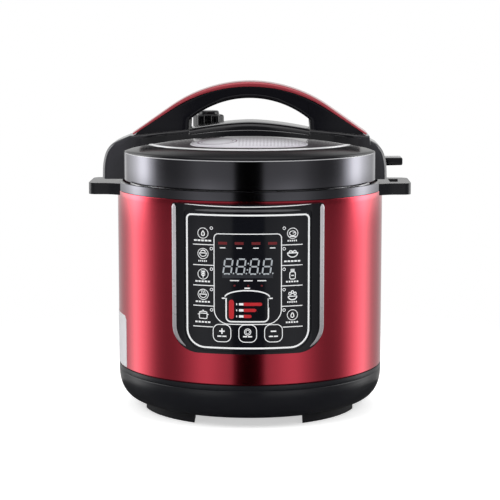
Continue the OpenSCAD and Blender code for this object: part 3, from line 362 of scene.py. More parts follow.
# %% Which finish each part has
WEARS = {
    red_lacquer: "outer_shell",
    gunmetal: "collar_band lid_band",
    gloss_black: "panel_bezel lid_cover handle_bridge handle_arch",
    satin_black: "base_pan collar cup_bracket power_inlet drain_spout release_knob",
    foot_rubber: "feet",
    bright_trim: "panel_trims disc_ring",
    spun_steel: "pressure_well lid_plate inner_pot steam_shield gasket_rack",
    plain_steel: "support_posts foot_screws panel_screws handle_screws heater_terminals inlet_pins "
                 "exhaust_nut exhaust_pipe float_valve valve_weight sensor_spring",
    cast_metal: "heater_plate sensor_cap",
    board_green: "control_board power_board",
    moulded_parts: "power_parts",
    cream_parts: "thermal_fuse pressure_switch",
    dark_parts: "display_module tact_switches",
    film_black: "panel_film",
    key_black: "key_up key_stop key_down",
    sticker: "blank_label",
    plate_silver: "lid_label",
    dome_grey: "lid_disc",
    clear_tint: "condensation_cup",
    silicone: "sealing_ring",
    red_silicone: "float_seal",
    red_strip: "handle_strip",
}
for stuff, names in WEARS.items():
    for node in names.split():
        mesh = frame["nodes"][node].data
        mesh.materials.clear()
        mesh.materials.append(stuff)
dressed = set(" ".join(WEARS.values()).split())
print("CAD parts without a finish:", sorted(set(frame["nodes"]) - dressed))

# %% [markdown]
# ## Sizes taken from the frame
#
# The new surfaces take their places from the boxes of the CAD parts, so they sit exactly where
# the parts are.

# %% Driving sizes in millimetres
shell_low, shell_high = box_mm("outer_shell")
band_low, band_high = box_mm("lid_band")
disc_high = box_mm("lid_disc")[1]
seal_low, seal_high = box_mm("disc_ring")
bridge_low, bridge_high = box_mm("handle_bridge")
strip_high, arch_high = box_mm("handle_strip")[1], box_mm("handle_arch")[1]
bezel_low, bezel_high = box_mm("panel_bezel")
film_low, film_high = box_mm("panel_film")
label_low, label_high = box_mm("lid_label")
knob_low, knob_high = box_mm("release_knob")

SHELL_R, LID_R, DISC_R = shell_high[0], band_high[0], disc_high[0]
BEZEL_R, FILM_R = -bezel_low[1], -film_low[1]
DOME_RISE = 9.5
COVER_Z, RIM_Z = band_high[2] + 0.1, disc_high[2] - DOME_RISE
print("shell radius %.1f, lid radius %.1f, disc radius %.1f mm" % (SHELL_R, LID_R, DISC_R))

# %% [markdown]
# ## Softened edges on moulded parts
#
# No moulded or pressed part has a knife edge: the small roundings catch the light and draw the
# part's outline. A CAD mesh is a set of loose triangles, so a copy is merged first, flat faces
# are joined again, and a Bevel modifier rounds the edges that are sharper than a limit.


# %% Copy a CAD part with rounded edges
ROUND_FROM, SHARP_FROM = math.radians(35), math.radians(38)


def body_of(node):
    """Name of the body that a CAD part rides on."""
    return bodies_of(frame["nodes"][node])[0]


def eased(node, round_mm, material, segments=2):
    """Merged copy of a CAD part. Edges sharper than ROUND_FROM get a rounding."""
    mesh = frame["nodes"][node].data.copy()
    mesh.name = node + "_eased"
    work = bmesh.new()
    work.from_mesh(mesh)
    bmesh.ops.remove_doubles(work, verts=work.verts, dist=2e-6)
    bmesh.ops.dissolve_limit(work, angle_limit=math.radians(0.6), verts=work.verts,
                             edges=work.edges)
    work.to_mesh(mesh)
    work.free()
    mesh.shade_smooth()
    mesh.set_sharp_from_angle(angle=SHARP_FROM)
    piece = place(mesh.name, mesh, material, body_of(node), [node])
    rounding = piece.modifiers.new("rounding", "BEVEL")
    rounding.width, rounding.segments = round_mm * MM, segments
    rounding.limit_method, rounding.angle_limit = "ANGLE", ROUND_FROM
    return piece


eased("base_pan", 0.7, satin_black)
eased("feet", 1.2, foot_rubber, segments=3)
eased_collar = eased("collar", 1.0, satin_black, segments=3)
eased_collar.visible_glossy = False     # its ears would darken the ends of the bright bands
eased("panel_bezel", 0.7, gloss_black, segments=3)
eased("cup_bracket", 0.5, satin_black)
eased("power_inlet", 0.5, satin_black)
eased("drain_spout", 0.5, satin_black)
eased("condensation_cup", 0.6, clear_tint)

# %% [markdown]
# ## Spring under the sensor
#
# Pressed down, the sensor shortens its spring. A copy of the spring with a mesh of its own takes the CAD
# spring's place on its body.

# %% Copy of the spring
spring_mesh = frame["nodes"]["sensor_spring"].data.copy()
spring = place("closing_spring", spring_mesh, plain_steel, body_of("sensor_spring"),
               ["sensor_spring"])
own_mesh(spring)

# %% [markdown]
# ## Red shell
#
# The body is one sheet of lacquered steel rolled into a drum, with a window cut for the panel.
# A cylinder is the plainest of surfaces: x = r sin a, y = -r cos a. The grid's columns are set
# so that two of them lie on the window's edges, and the faces inside its rounded outline are
# left out; the panel's rim hides the stepped corners. A Solidify modifier gives the sheet its
# thickness.

# %% Drum with a window
SHEET = 0.8
CUT_X, CUT_CORNER, CUT_COLUMNS = 69, 22, 48
CUT_LOW, CUT_HIGH = bezel_low[2] + 3.5, bezel_high[2] - 3.5
LIP = np.array([0, 0.5, 1.2])
LIP_IN = np.array([-0.5, -0.15, 0])


def drum_grid():
    """Angles all round with extra ones at the window's sides; a rolled lip at both ends."""
    side = math.asin(CUT_X / SHELL_R)
    angles = np.concatenate([np.linspace(-side, side, CUT_COLUMNS + 1),
                             np.linspace(side, 2 * math.pi - side, 208)[1:-1]])
    low, high = shell_low[2], shell_high[2]
    z = np.concatenate([low + LIP, np.linspace(low + 2, CUT_LOW, 8),
                        np.linspace(CUT_LOW, CUT_HIGH, 60)[1:], high - LIP[::-1]])[:, None]
    lips_z = np.hstack([low + LIP, high - LIP[::-1]])
    radius = SHELL_R + np.interp(z, lips_z, [*LIP_IN, *LIP_IN[::-1]])
    grid = joined(radius * np.sin(angles), -radius * np.cos(angles), z)
    mid_z = (z[1:] + z[:-1]) / 2
    mid_x = SHELL_R * np.sin((angles + np.roll(angles, -1)) / 2)
    in_front = np.arange(len(angles)) < CUT_COLUMNS
    over_x = np.maximum(np.abs(mid_x) - CUT_X + CUT_CORNER, 0)
    over_z = np.maximum(CUT_LOW + CUT_CORNER - mid_z, 0)
    inside = (mid_z > CUT_LOW) & (mid_z < CUT_HIGH) & in_front
    return grid, ~(inside & (np.hypot(over_x, over_z) < CUT_CORNER))


drum, keep = drum_grid()
drum_faces = grid_faces(*drum.shape[:2], False, True)[keep.ravel()]
red_shell = add_piece("red_shell", drum.reshape(-1, 3), drum_faces.tolist(), red_lacquer,
                      "cooker", ["outer_shell"], closed=False)
wall = red_shell.modifiers.new("sheet", "SOLIDIFY")
wall.thickness, wall.offset = SHEET * MM, -1        # the sheet grows inwards

# %% [markdown]
# ## Bright trims
#
# A bright bar runs down each side of the panel and a little way round its lower corner. It is a small
# rounded section carried along the panel's outline and laid on the panel's cylinder. The bar tapers at
# both ends, which gives each end a facet that catches the light. Its colour is painted darker towards the
# lower corner, as painted shade.

# %% Trims down the sides of the panel
trim_low, trim_high = box_mm("panel_trims")
TRIM_HALF, CORNER_R = 2.0, 25
TRIM_OUTLINE = [[-TRIM_HALF, -1.0], [TRIM_HALF, -1.0], [TRIM_HALF, 0.2], [TRIM_HALF - 1.5, 0.9],
                [-TRIM_HALF, 0.55]]


def trim_grid(side):
    """Sections along the outline: straight down to the corner's centre, then round the corner,
    x = X - R (1 - cos a), z = Z - R sin a. Ease narrows and lowers the section at both ends."""
    line_x, bend_z = trim_high[0] - TRIM_HALF, bezel_low[2] + CORNER_R
    bend_r = CORNER_R - TRIM_HALF
    end_turn = math.asin((bend_z - trim_low[2]) / bend_r) + 0.4
    top_z = trim_high[2] - 0.2
    straight = np.insert(np.linspace(top_z, bend_z, 24), 1, top_z - 2.6)
    turn = np.linspace(0, end_turn, 25)[1:]
    x = np.hstack([0 * straight + line_x, line_x - bend_r * (1 - np.cos(turn))])
    z = np.hstack([straight, bend_z - bend_r * np.sin(turn)])
    out_x = np.hstack([0 * straight + 1, np.cos(turn)])
    out_z = np.hstack([0 * straight, -np.sin(turn)])
    section = fillet(TRIM_OUTLINE, [0.2, 0.2, 0.3, 0.5, 0.3], 3)
    ease = np.hstack([[0.35], np.ones(len(x) - 17), np.sqrt(np.linspace(1, 0.04, 16))])
    across = section[:, 0] * ease[:, None]
    rise = section[:, 1] - 0.9 * (section[:, 1] > -0.7) * (1 - ease[:, None])
    flat_x, flat_z = x[:, None] + out_x[:, None] * across, z[:, None] + out_z[:, None] * across
    radius = BEZEL_R + rise
    return joined(side * flat_x, -np.sqrt(radius ** 2 - flat_x ** 2), flat_z)


for side, word in ((-1, "left"), (1, "right")):
    grid_piece("bright_trim_" + word, trim_grid(side), bright_trim, "cooker",
               ["panel_trims"], sharp=25)

# %% [markdown]
# ## Brow over the panel
#
# Above the printed film the panel carries a slim raised bead, and along its top edge runs a near-white
# line that is a painted glint. Both follow the panel's cylinder and taper to nothing at their ends.


# %% Bead and line
def brow_grid(z, half_x, tall, proud, sag):
    """A half ellipse carried along the panel's cylinder; its size falls as (1 - (x / X)^4)^0.5
    and its height by sag (1 - (x / X)^2)."""
    x = half_x * np.sin(np.linspace(-math.pi / 2, math.pi / 2, 61))[:, None]
    size = np.sqrt(np.maximum(1 - (x / half_x) ** 4, 0.002))
    turn = np.linspace(-math.pi / 2, math.pi / 2, 9)
    rise = np.hstack([[-0.6], proud * np.cos(turn), [-0.6]])
    level = np.hstack([[-1], np.sin(turn), [1]]) * tall / 2
    crest = z - sag * (1 - (x / half_x) ** 2)
    return joined(x, -np.sqrt((BEZEL_R + size * rise) ** 2 - x ** 2), crest + size * level)


BEAD = {"z": bezel_high[2] - 5.8, "half_x": 50, "tall": 2.4, "proud": 0.6, "sag": 0}
# The line is a painted glint: a near-white strip along the bezel's top edge.
LINE = {"z": bezel_high[2] - 0.5, "half_x": 60, "tall": 1.0, "proud": 0.35, "sag": 1.6}
grid_piece("panel_brow", brow_grid(**BEAD), brow_black, "cooker")
grid_piece("brow_painted_glint", brow_grid(**LINE), chrome_and_painted_glint, "cooker")

# %% [markdown]
# ## Bands and rims
#
# The lid's band, the sloping rim and the ring round the disc are turned parts, so each is a closed
# profile carried round the axis. The fillets are part of the profile. A thin light grey ring over the
# band's top fillet is a painted highlight along that edge.


# %% Turned rings
def dome_z(r):
    """Height of the lid's disc: it falls from its middle with the square of the radius."""
    return RIM_Z + DOME_RISE * (1 - (r / DISC_R) ** 2)


def turned(name, profile, material, replaces=()):
    """A closed profile (radius, height) carried round the axis; it rides on the lid."""
    grid_piece(name, revolve(profile), material, "lid", replaces, wrap_rows=True)


inner_r = LID_R - 1.5
band_profile = fillet([[inner_r, band_low[2]], [LID_R, band_low[2]], [LID_R, band_high[2]],
                       [inner_r, band_high[2]]], [0.3, 0.7, 1.3, 0.3])
turned("turned_lid_band", band_profile, gunmetal, ["lid_band"])

# Painted highlight: a thin light grey ring laid over the band's rounded top edge.
edge = band_profile[(band_profile[:, 0] > LID_R - 1.2) & (band_profile[:, 1] > band_high[2] - 1.2)]
turned("band_edge_painted_highlight", np.vstack([edge + 0.05, edge[::-1] - 0.25]), painted_highlight_edge)

slope_line = smooth_line([[LID_R - 0.05, COVER_Z + 0.1], [LID_R - 0.5, COVER_Z + 1.5],
                          [LID_R - 3, COVER_Z + 2.9], [LID_R - 10, COVER_Z + 5.3],
                          [DISC_R + 5, RIM_Z - 0.4], [DISC_R + 2.4, RIM_Z - 0.02]], 6)
rim_profile = np.vstack([slope_line, slope_line[::-1] - [0.35, 0.5]])
turned("gloss_rim", rim_profile, rim_black)

seal_r, seal_in = seal_high[0], DISC_R - 2.4
seal_profile = fillet([[seal_in, dome_z(seal_in) - 0.4], [DISC_R, seal_low[2]],
                       [seal_r, seal_low[2]], [seal_r, seal_high[2]], [DISC_R, seal_high[2]],
                       [seal_in, dome_z(seal_in) + 0.5]], [0.1, 0.4, 0.3, 0.5, 1.5, 0.3])
turned("turned_disc_ring", seal_profile, chrome_and_painted_glint, ["disc_ring"])

# %% [markdown]
# ## Handle
#
# The handle is three mouldings: a saddle that grips the lid on both sides and swells into a
# pillow under the grip, the arch with its two webs, and a coloured strip on top. Each is a
# closed section carried along a line, and the section changes on the way. Sections are easier
# to control than a modelled cage here, since the widths and heights are known at every place.

# %% Lines of the handle
ARCH_TOP, ARCH_END = strip_high[2], strip_high[0]
TURN_X, TURN_DROP = ARCH_END - 37.5, 25.1
ARCH_R = (TURN_X ** 2 + TURN_DROP ** 2) / (2 * TURN_DROP)
WINDOW_X, WINDOW_R, WINDOW_TOP = 60, 95, ARCH_TOP - 17
PILLOW_Z, PILLOW_DROP = bridge_high[2], 7.4
SEAT_Z = PILLOW_Z - 11
GRIP_HALF, WEB_HALF = strip_high[1] - 6, arch_high[1]
LEG_LEFT, LEG_RIGHT, LEG_Z = -bridge_low[0], LID_R + 10.4, bridge_low[2]


def arch_z(x):
    """Height of the arch's crown: a circle to the turn, then its tangent."""
    a = np.minimum(np.abs(x), TURN_X)
    slope = TURN_X / math.sqrt(ARCH_R ** 2 - TURN_X ** 2)
    return ARCH_TOP - ARCH_R + np.sqrt(ARCH_R ** 2 - a ** 2) - slope * (np.abs(x) - a)


def arch_lean(x):
    """Angle by which the crown leans at x."""
    a = np.clip(x, -TURN_X, TURN_X)
    return np.arctan2(a, np.sqrt(ARCH_R ** 2 - a ** 2))


def strip_depth(x):
    """The strip thins from 5.6 mm in the middle to 2.4 mm at its ends."""
    return 5.6 - 3.2 * (np.abs(x) / ARCH_END) ** 1.5


def window_z(x):
    """Top of the opening: a circle about its middle."""
    return WINDOW_TOP - WINDOW_R + np.sqrt(np.maximum(WINDOW_R ** 2 - x ** 2, 0))


def seat_z(x):
    """The saddle's seat falls in a line from the pillow's ends to the strip's ends."""
    end = min(SEAT_Z - 2, arch_z(ARCH_END) - strip_depth(ARCH_END) - 0.2)
    return np.interp(np.abs(x), [WINDOW_X, ARCH_END], [PILLOW_Z - PILLOW_DROP - 0.3, end])


print("arch radius %.1f, seat at %.1f mm" % (ARCH_R, SEAT_Z))


# %% Coloured strip
def strip_grid():
    """A crowned section carried along the arch; it flares by 6 (x / end)^3 at its ends."""
    x = np.linspace(-ARCH_END, ARCH_END, 97)[:, None]
    lean, depth = arch_lean(x), strip_depth(x)
    half = GRIP_HALF + 6 * (np.abs(x) / ARCH_END) ** 3
    crown = smooth_line([[-1, -0.66], [-0.975, -0.42], [-0.92, -0.24], [-0.78, -0.08], [-0.4, 0],
                         [0.4, 0], [0.78, -0.08], [0.92, -0.24], [0.975, -0.42], [1, -0.66]], 3)
    section = np.vstack([[[-0.98, -0.97], [-1, -0.9]], crown, [[1, -0.9], [0.98, -0.97]]])
    across, down = section.T
    return joined(x + down * depth * np.sin(lean), across * half, arch_z(x) + down * depth * np.cos(lean))


grid_piece("crown_strip", strip_grid(), red_strip, "lid", ["handle_strip"], 40)


# %% Arch with its webs
def web_half(z):
    """Half width of the arch at a height: wide at the seat, drawn in towards the grip."""
    return np.interp(z, [SEAT_Z, SEAT_Z + 4, SEAT_Z + 11, SEAT_Z + 18, SEAT_Z + 32],
                     [WEB_HALF, WEB_HALF - 0.4, WEB_HALF - 2.4, GRIP_HALF + 2, GRIP_HALF - 0.4])


def arch_grid():
    """Sections across the arch. Levels 0-9 run up beside the opening and have no height above it;
    levels 10-24 run from the opening's top line to the strip. The edge round the opening is a
    quarter circle: the half width shrinks by s (1 - sqrt(1 - (1 - d / s)^2)) at a distance d."""
    end, soft = ARCH_END - 3, 5.5
    side = np.concatenate([[0, 0.4, 1.2, 2.5, 4], np.linspace(5.5, end - WINDOW_X, 22)]) + WINDOW_X
    x = np.hstack([-side[::-1], np.linspace(-WINDOW_X, WINDOW_X, 81), side])[:, None]
    webs = np.repeat([True, False, True], [len(side), 81, len(side)])[:, None]
    lean, depth = arch_lean(x), strip_depth(x) + 0.05
    high_x, high_z = x - depth * np.sin(lean), arch_z(x) - depth * np.cos(lean)
    corner_z = window_z(WINDOW_X)
    seat = seat_z(x) + 0.05
    share = (corner_z - seat[len(side)]) / (high_z[len(side)] - seat[len(side)])
    line = np.where(webs, seat + (high_z - seat) * share, window_z(x))
    low = np.where(webs, seat, line)
    below = low + (line - low) * np.linspace(0, 1, 10)
    steps = [0, 0.012, 0.05, 0.11, 0.19, 0.29, 0.38, 0.46, 0.56, 0.66, 0.76, 0.86, 0.94, 0.98, 1]
    above = line + (high_z - line) * steps
    rise = np.hstack([below, above])
    out_x = np.maximum(np.abs(x) - WINDOW_X, 0)
    out_z = np.maximum(rise - np.where(webs, corner_z, line), 0)
    near = np.clip(1 - np.hypot(out_x, out_z) / soft, 0, 1)
    half = web_half(rise) - soft * 0.85 * (1 - np.sqrt(1 - near ** 2))
    half[:, -2:] -= [0.15, 0.5]         # a small rounding under the strip
    return both_sides(x + (high_x - x) * (rise - low) / (high_z - low), half, rise)


grid_piece("arch_moulding", arch_grid(), gloss_black, "lid", ["handle_arch"], 42)


# %% Saddle
LEG, SEAT, PILLOW = 0, 1, 2
EDGE_WIDTH, EDGE_DEPTH, EDGE_POWER = np.array([[7.5, 3.0, 25], [5.5, 2.6, 9.5], [1, 1, 2.1]])
WALL = np.array([0.04, 0.08, 0.3, 0.65, 1.0])
LEDGE = np.array([0.08, 0.8, 0.88, 0.94, 1.0])


def saddle_line():
    """Outer line from the left foot over the pillow to the right foot, and the stretch that each
    point is on: LEG, SEAT or PILLOW."""
    leg = smooth_line([[0, 0], [0.4, 12], [1.6, 20], [3.6, 26.5], [6.6, 31.5], [10.6, 35.4],
                       [17, 38.8]], 5)
    left = leg + [-LEG_LEFT, LEG_Z]
    right = leg[::-1] * [-1, 1] + [LEG_RIGHT, LEG_Z]
    x = np.linspace(-ARCH_END - 2, -WINDOW_X, 18)
    seat = joined(x, seat_z(x))
    x = np.linspace(-WINDOW_X, WINDOW_X, 49)
    pillow = joined(x, PILLOW_Z - PILLOW_DROP * (np.abs(x) / WINDOW_X) ** 1.7)
    parts = [left, seat, pillow, seat[::-1] * [-1, 1], right]
    kinds = [[kind] * len(part) for kind, part in zip((LEG, SEAT, PILLOW, SEAT, LEG), parts)]
    return np.vstack(parts), np.hstack(kinds)[:, None]


def saddle_grid():
    """Sections of the saddle. Depth runs from the outer line towards the lid; the top edges are
    quarter ellipses, d (1 - cos a)^p with p = 2.1 on the pillow; a narrow ledge runs round its
    foot, and under the ledge the wall is steep."""
    outer, kind = saddle_line()
    x, z = outer.T[..., None]
    on_lid = np.minimum(np.abs(x), LID_R - 1.4)
    lid_top = np.where(on_lid < DISC_R, dome_z(np.minimum(on_lid, DISC_R)) - 0.6,
                       np.interp(on_lid, [DISC_R, LID_R - 10, LID_R - 3, LID_R - 1.4],
                                 [RIM_Z - 0.4, COVER_Z + 4.6, COVER_Z + 2.0, COVER_Z]))
    leg_part = np.abs(x) > LID_R - 6
    inner_x = np.where(leg_part, np.sign(x) * (LID_R - 1.6), x)
    inner_z = np.where(leg_part, np.minimum(z - 3, COVER_Z + 1.5), lid_top)
    inner_z = np.where(leg_part & (z < COVER_Z + 6), np.minimum(z, COVER_Z - 2), inner_z)
    half_mid, half_leg, pillow_end = bridge_high[1] - 9, 28.5, 80
    half = np.interp(np.abs(x), [pillow_end, LID_R - 22, LID_R - 10],
                     [half_mid, half_leg + 2.4, half_leg])
    half += 4 * np.clip(1 - (x / pillow_end) ** 2, 0, 1)
    lean = np.interp(np.abs(x), [pillow_end, LID_R - 12], [5, 0])
    length = np.hypot(inner_x - x, inner_z - z)
    deep = np.minimum(EDGE_DEPTH[kind], 0.55 * length)
    a = np.linspace(0, math.pi / 2, 9)
    across = half - EDGE_WIDTH[kind] * (1 - np.sin(a))
    share = deep / length * (1 - np.cos(a)) ** EDGE_POWER[kind]
    across = np.hstack([across, half + lean * LEDGE])
    share = np.hstack([share, share[:, -1:] + (1 - share[:, -1:]) * WALL])
    return both_sides(x + (inner_x - x) * share, across, z + (inner_z - z) * share)


# Its finish paints the legs lighter, a painted sheen.
saddle = grid_piece("saddle_moulding", saddle_grid(), saddle_black, "lid",
                    ["handle_bridge"], 42)
saddle.visible_glossy = False       # its legs would darken the ends of the lid's bright band

# %% Resting lug on the right
lug_z, lug_reach = band_low[2] + 14, bridge_high[0]
lug_profile = fillet([[LEG_RIGHT - 5, lug_z], [lug_reach, lug_z + 0.6], [lug_reach, lug_z + 8],
                      [LEG_RIGHT - 5, lug_z + 8]], [0.4, 1.6, 1.6, 0.4], 6)
lug_y, shrink = np.array([[-13, 0.1], [-12.6, 0.025], [-12, 0], [12, 0], [12.6, 0.025], [13, 0.1]]).T
lug_middle = lug_profile.mean(0)
lug_xz = lug_middle + (lug_profile - lug_middle) * (1 - shrink[:, None, None])
lug_grid = joined(lug_xz[..., 0], lug_y[:, None], lug_xz[..., 1])
lug = grid_piece("resting_lug", lug_grid, gloss_black, "lid", sharp=50)
lug.visible_glossy = False

# %% [markdown]
# ## Print on the control panel
#
# The panel is a curved sheet of film printed from behind. Its print is drawn flat, as seen from
# the front, and then laid on the film: a point (x, z) goes to the depth -sqrt(r^2 - x^2) of a
# cylinder a hair outside the film. Each stroke is a thin ribbon along a line. Names and words
# are left out, and short bars stand where words would be. A stroke is a pair (line, width).


# %% Strokes on a cylinder
def on_film(x, z, lift):
    """Front-view points laid on a cylinder just outside the film."""
    return joined(x, -np.sqrt((FILM_R + lift) ** 2 - x ** 2), z)


def stroke(line, width):
    """Two edges of a ribbon along a flat line, and whether the line ends where it starts. An
    edge is the line shifted by half the width along its normal, (-dz, dx) / length."""
    p = np.asarray(line, float)
    closed = np.allclose(p[0], p[-1])
    if closed:
        p = p[:-1]
        ahead, back = np.roll(p, -1, 0), np.roll(p, 1, 0)
    else:
        ahead = np.vstack([p[1:], 2 * p[-1] - p[-2]])
        back = np.vstack([2 * p[0] - p[1], p[:-1]])
    along = ahead - back
    normal = along[:, ::-1] * [-1, 1] / np.linalg.norm(along, axis=1)[:, None]
    return np.stack([p + normal * width / 2, p - normal * width / 2], 1), closed


def lay_print(name, strokes, material, body, lift, lay=on_film, outward=(0, -1, 0)):
    """One mesh of many ribbons, laid on a surface. Faces that look inwards are turned round."""
    points, faces, first = [], [], 0
    for line, width in strokes:
        edges, closed = stroke(line, width)
        points.append(lay(edges[..., 0].ravel(), edges[..., 1].ravel(), lift))
        faces.append(grid_faces(len(edges), 2, closed, False) + first)
        first += 2 * len(edges)
    points, faces = np.vstack(points), np.vstack(faces)
    a, b, c = (points[faces[:, k]] for k in (0, 1, 2))
    wrong = np.cross(b - a, c - a) @ outward < 0
    faces[wrong] = faces[wrong][:, ::-1]
    add_piece(name, points, faces.tolist(), material, body, closed=False)


def arc(cx, cz, rx, start, end, steps=24, rz=None):
    """Part of an ellipse from one angle to another, in degrees."""
    a = np.radians(np.linspace(start, end, steps + 1))
    return joined(cx + rx * np.cos(a), cz + (rx if rz is None else rz) * np.sin(a))


def ring(cx, cz, r, steps=36, rz=None):
    """A whole circle or ellipse."""
    return arc(cx, cz, r, 0, 360, steps, rz)


def bar(x0, x1, z):
    """A level line cut into short steps, so that it follows the cylinder."""
    return joined(np.linspace(x0, x1, max(2, int(abs(x1 - x0) / 3) + 2)), z)


def rounded(x0, x1, z0, z1, low_r, high_r):
    """Closed rectangle with rounded corners; straight stretches are cut into short steps."""
    line = np.vstack([bar(x0 + low_r, x1 - low_r, z0), arc(x1 - low_r, z0 + low_r, low_r, -90, 0, 10),
                      arc(x1 - high_r, z1 - high_r, high_r, 0, 90, 10),
                      bar(x1 - high_r, x0 + high_r, z1),
                      arc(x0 + high_r, z1 - high_r, high_r, 90, 180, 10),
                      arc(x0 + low_r, z0 + low_r, low_r, 180, 270, 10)])
    line = line[np.linalg.norm(line - np.roll(line, 1, 0), axis=1) > 0.01]
    return np.vstack([line, line[:1]])


white_ink, grey_ink, red_ink, dim_red_ink, smoke_ink = (
    finish(name, colour, 0, roughness, 3000, tint=0.1) for name, colour, roughness in (
        ("white_ink", (0.88, 0.89, 0.9), 0.5), ("segment_grey", (0.42, 0.45, 0.48), 0.4),
        ("signal_red", (0.5, 0.012, 0.018), 0.4), ("dim_red", (0.16, 0.012, 0.016), 0.4),
        ("window_smoke", (0.028, 0.03, 0.036), 0.25)))

# %% [markdown]
# ### Frames and programme fields
#
# Ten fields in two columns each hold a small sign, a bar where the programme's word stands, a
# dividing line and the ring of an indicator lamp. Each sign is drawn about its own middle and
# then moved to its field.

# %% Signs
circle = (ring(0, 0, 4.9), 0.6)
bowl = [circle, (arc(0, 0.6, 3.3, 180, 360, 12), 0.7), (bar(-3.6, 3.6, 0.6), 0.9),
        (arc(0, 0.9, 2.4, 20, 160, 8), 1.0)]
grains = [([[0, h], [s * 1.9, h + 1.5]], 0.9) for s in (-1, 1) for h in (-2, -0.2, 1.6)]
grain_ear = [circle, ([[0, -3.6], [0, 3.6]], 0.7)] + grains
rise = np.linspace(0, 1, 9)
steam = [(joined(s + 0.4 * np.sin(6.3 * rise), 1.2 + 3 * rise), 0.55) for s in (-1.6, 0, 1.6)]
steaming_bowl = [circle, (arc(0, 0.2, 3.3, 180, 360, 12), 0.7), (bar(-3.6, 3.6, 0.2), 0.9)] + steam
lidded_pot = [(rounded(-3.7, 3.7, -3.6, 1.4, 1.2, 0.3), 0.8), (arc(0, 1.6, 3.9, 15, 165, 12, 1.7), 0.8),
              (bar(-5.2, -3.7, 0.4), 0.8), (bar(3.7, 5.2, 0.4), 0.8), (bar(-0.7, 0.7, 4.2), 0.8)]
cut_cake = [circle, (ring(0, 0, 3, 30, 2.2), 0.7), ([[0, 0], [2.6, 1]], 0.7), (bar(-3, 3, -3), 0.9)]
stew_dish = [(arc(0, 0.8, 4.8, 180, 360, 14, 4), 0.9), (bar(-5.2, 5.2, 0.8), 1.0),
             (arc(-1.8, 1.3, 1.6, 0, 180, 8), 1.0), (arc(1.9, 1.3, 1.6, 0, 180, 8), 1.0)]
jar = [(rounded(-2.6, 2.6, -4.6, 2.2, 1.4, 1.4), 0.8), (bar(-1.9, 1.9, 3.3), 0.9),
       (bar(-1.9, 1.9, 4.6), 0.7), (bar(-1.2, 1.2, -1.2), 1.0)]
leaves = [(ring(3 * math.cos(a), 3.4 * math.sin(a) - 1, 1.1, 16, 1.3), 0.8)
          for a in np.radians([35, 90, 145])]
leaves += [(arc(0, -0.6, 4.4, 200, 340, 12), 1.0), (bar(-4.4, 4.4, -1.6), 0.8)]
t = np.linspace(0, 2 * math.pi, 25)
drop_line = joined(1.9 * np.sin(t) * np.sin(t / 2) ** 1.2, 2.4 * np.cos(t))
drop = [circle, (drop_line, 0.9)]

# %% Frames and fields
FILM_X, FILM_LOW, FILM_HIGH = film_high[0], film_low[2], film_high[2]
FRAME_X, FRAME_LOW, FRAME_HIGH = 31.8, FILM_LOW + 26.3, FILM_HIGH - 21.2
FIELD_X, FIELD_PITCH = 42.3, 19.5
fields_z = FILM_LOW + 34.5 + FIELD_PITCH * np.arange(5)
white_strokes = [(rounded(-FILM_X + 2.8, FILM_X - 2.8, FILM_LOW + 3.2, FILM_HIGH - 3.6, 17, 4), 1.6),
                 (rounded(-FRAME_X, FRAME_X, FRAME_LOW, FRAME_HIGH, 14, 4), 0.85)]
signs = {-1: [lidded_pot, steaming_bowl, grain_ear, bowl, drop],
         1: [drop, leaves, jar, stew_dish, cut_cake]}
word_bars = {-1: [7.6, 7.2, 7.4, 4.4, 8.6], 1: [6.2, 5.0, 6.2, 8.0, 4.8]}
for side in (-1, 1):
    for sign, half_word, z in zip(signs[side], word_bars[side], fields_z):
        white_strokes += [(np.add(line, [side * FIELD_X, z]), width) for line, width in sign]
        cuts = np.linspace(-half_word, half_word, 6) + side * FIELD_X
        white_strokes += [(bar(a, b - 0.8, z - 7), 1.5) for a, b in zip(cuts[:-1], cuts[1:])]
        start, end, down = (32.2, 51.8, 10.9) if z > fields_z[0] else (33.1, 52, 11.4)
        white_strokes += [(bar(side * start, side * end, z - down), 0.8),
                          (ring(side * 34.3, z + 5, 1.25, 16), 0.6)]

# %% [markdown]
# ### Display and cooking chart
#
# The display shows unlit figures: seven bars each, leaning by about eight degrees. Four lamps
# are above it, three below, and a chart of a pot with a column and three level bars.

# %% Figures
DIGIT_W, DIGIT_H, LEAN = 7.4, 14.2, math.tan(math.radians(8))
DISPLAY_Z = FILM_LOW + 81.5
FIGURES_X = (-18.6, -6.4, 6.2, 18.4)
OUTSIDE = [(0, 1), (1, 1), (1, 0.5), (1, 0), (0, 0), (0, 0.5)]
SEGMENTS = np.array([*zip(OUTSIDE, OUTSIDE[1:] + OUTSIDE[:1]), ((0, 0.5), (1, 0.5))])


def figure(centre):
    """Seven bars of a figure: each runs between two corners, shortened at both ends."""
    ends = SEGMENTS + (SEGMENTS[:, ::-1] - SEGMENTS) * 0.12 - 0.5
    x, z = ends[..., 0] * DIGIT_W, ends[..., 1] * DIGIT_H
    return [(line, 1.45) for line in joined(centre + x + z * LEAN, DISPLAY_Z + z)]


points_at = [(c + 5.2, -6.6) for c in FIGURES_X] + [(0.2 + s * 0.4, s * 3) for s in (-1, 1)]
grey_strokes = [part for c in FIGURES_X for part in figure(c)]
grey_strokes += [(ring(x, DISPLAY_Z + z, 0.4, 12), 0.7) for x, z in points_at]
lay_print("figures", grey_strokes, grey_ink, "cooker", 0.07)
low_bars = [(bar(-24, 24, DISPLAY_Z - 10.6 + k * 0.9), 0.9) for k in range(4)]
lay_print("display_foot", low_bars, smoke_ink, "cooker", 0.05)

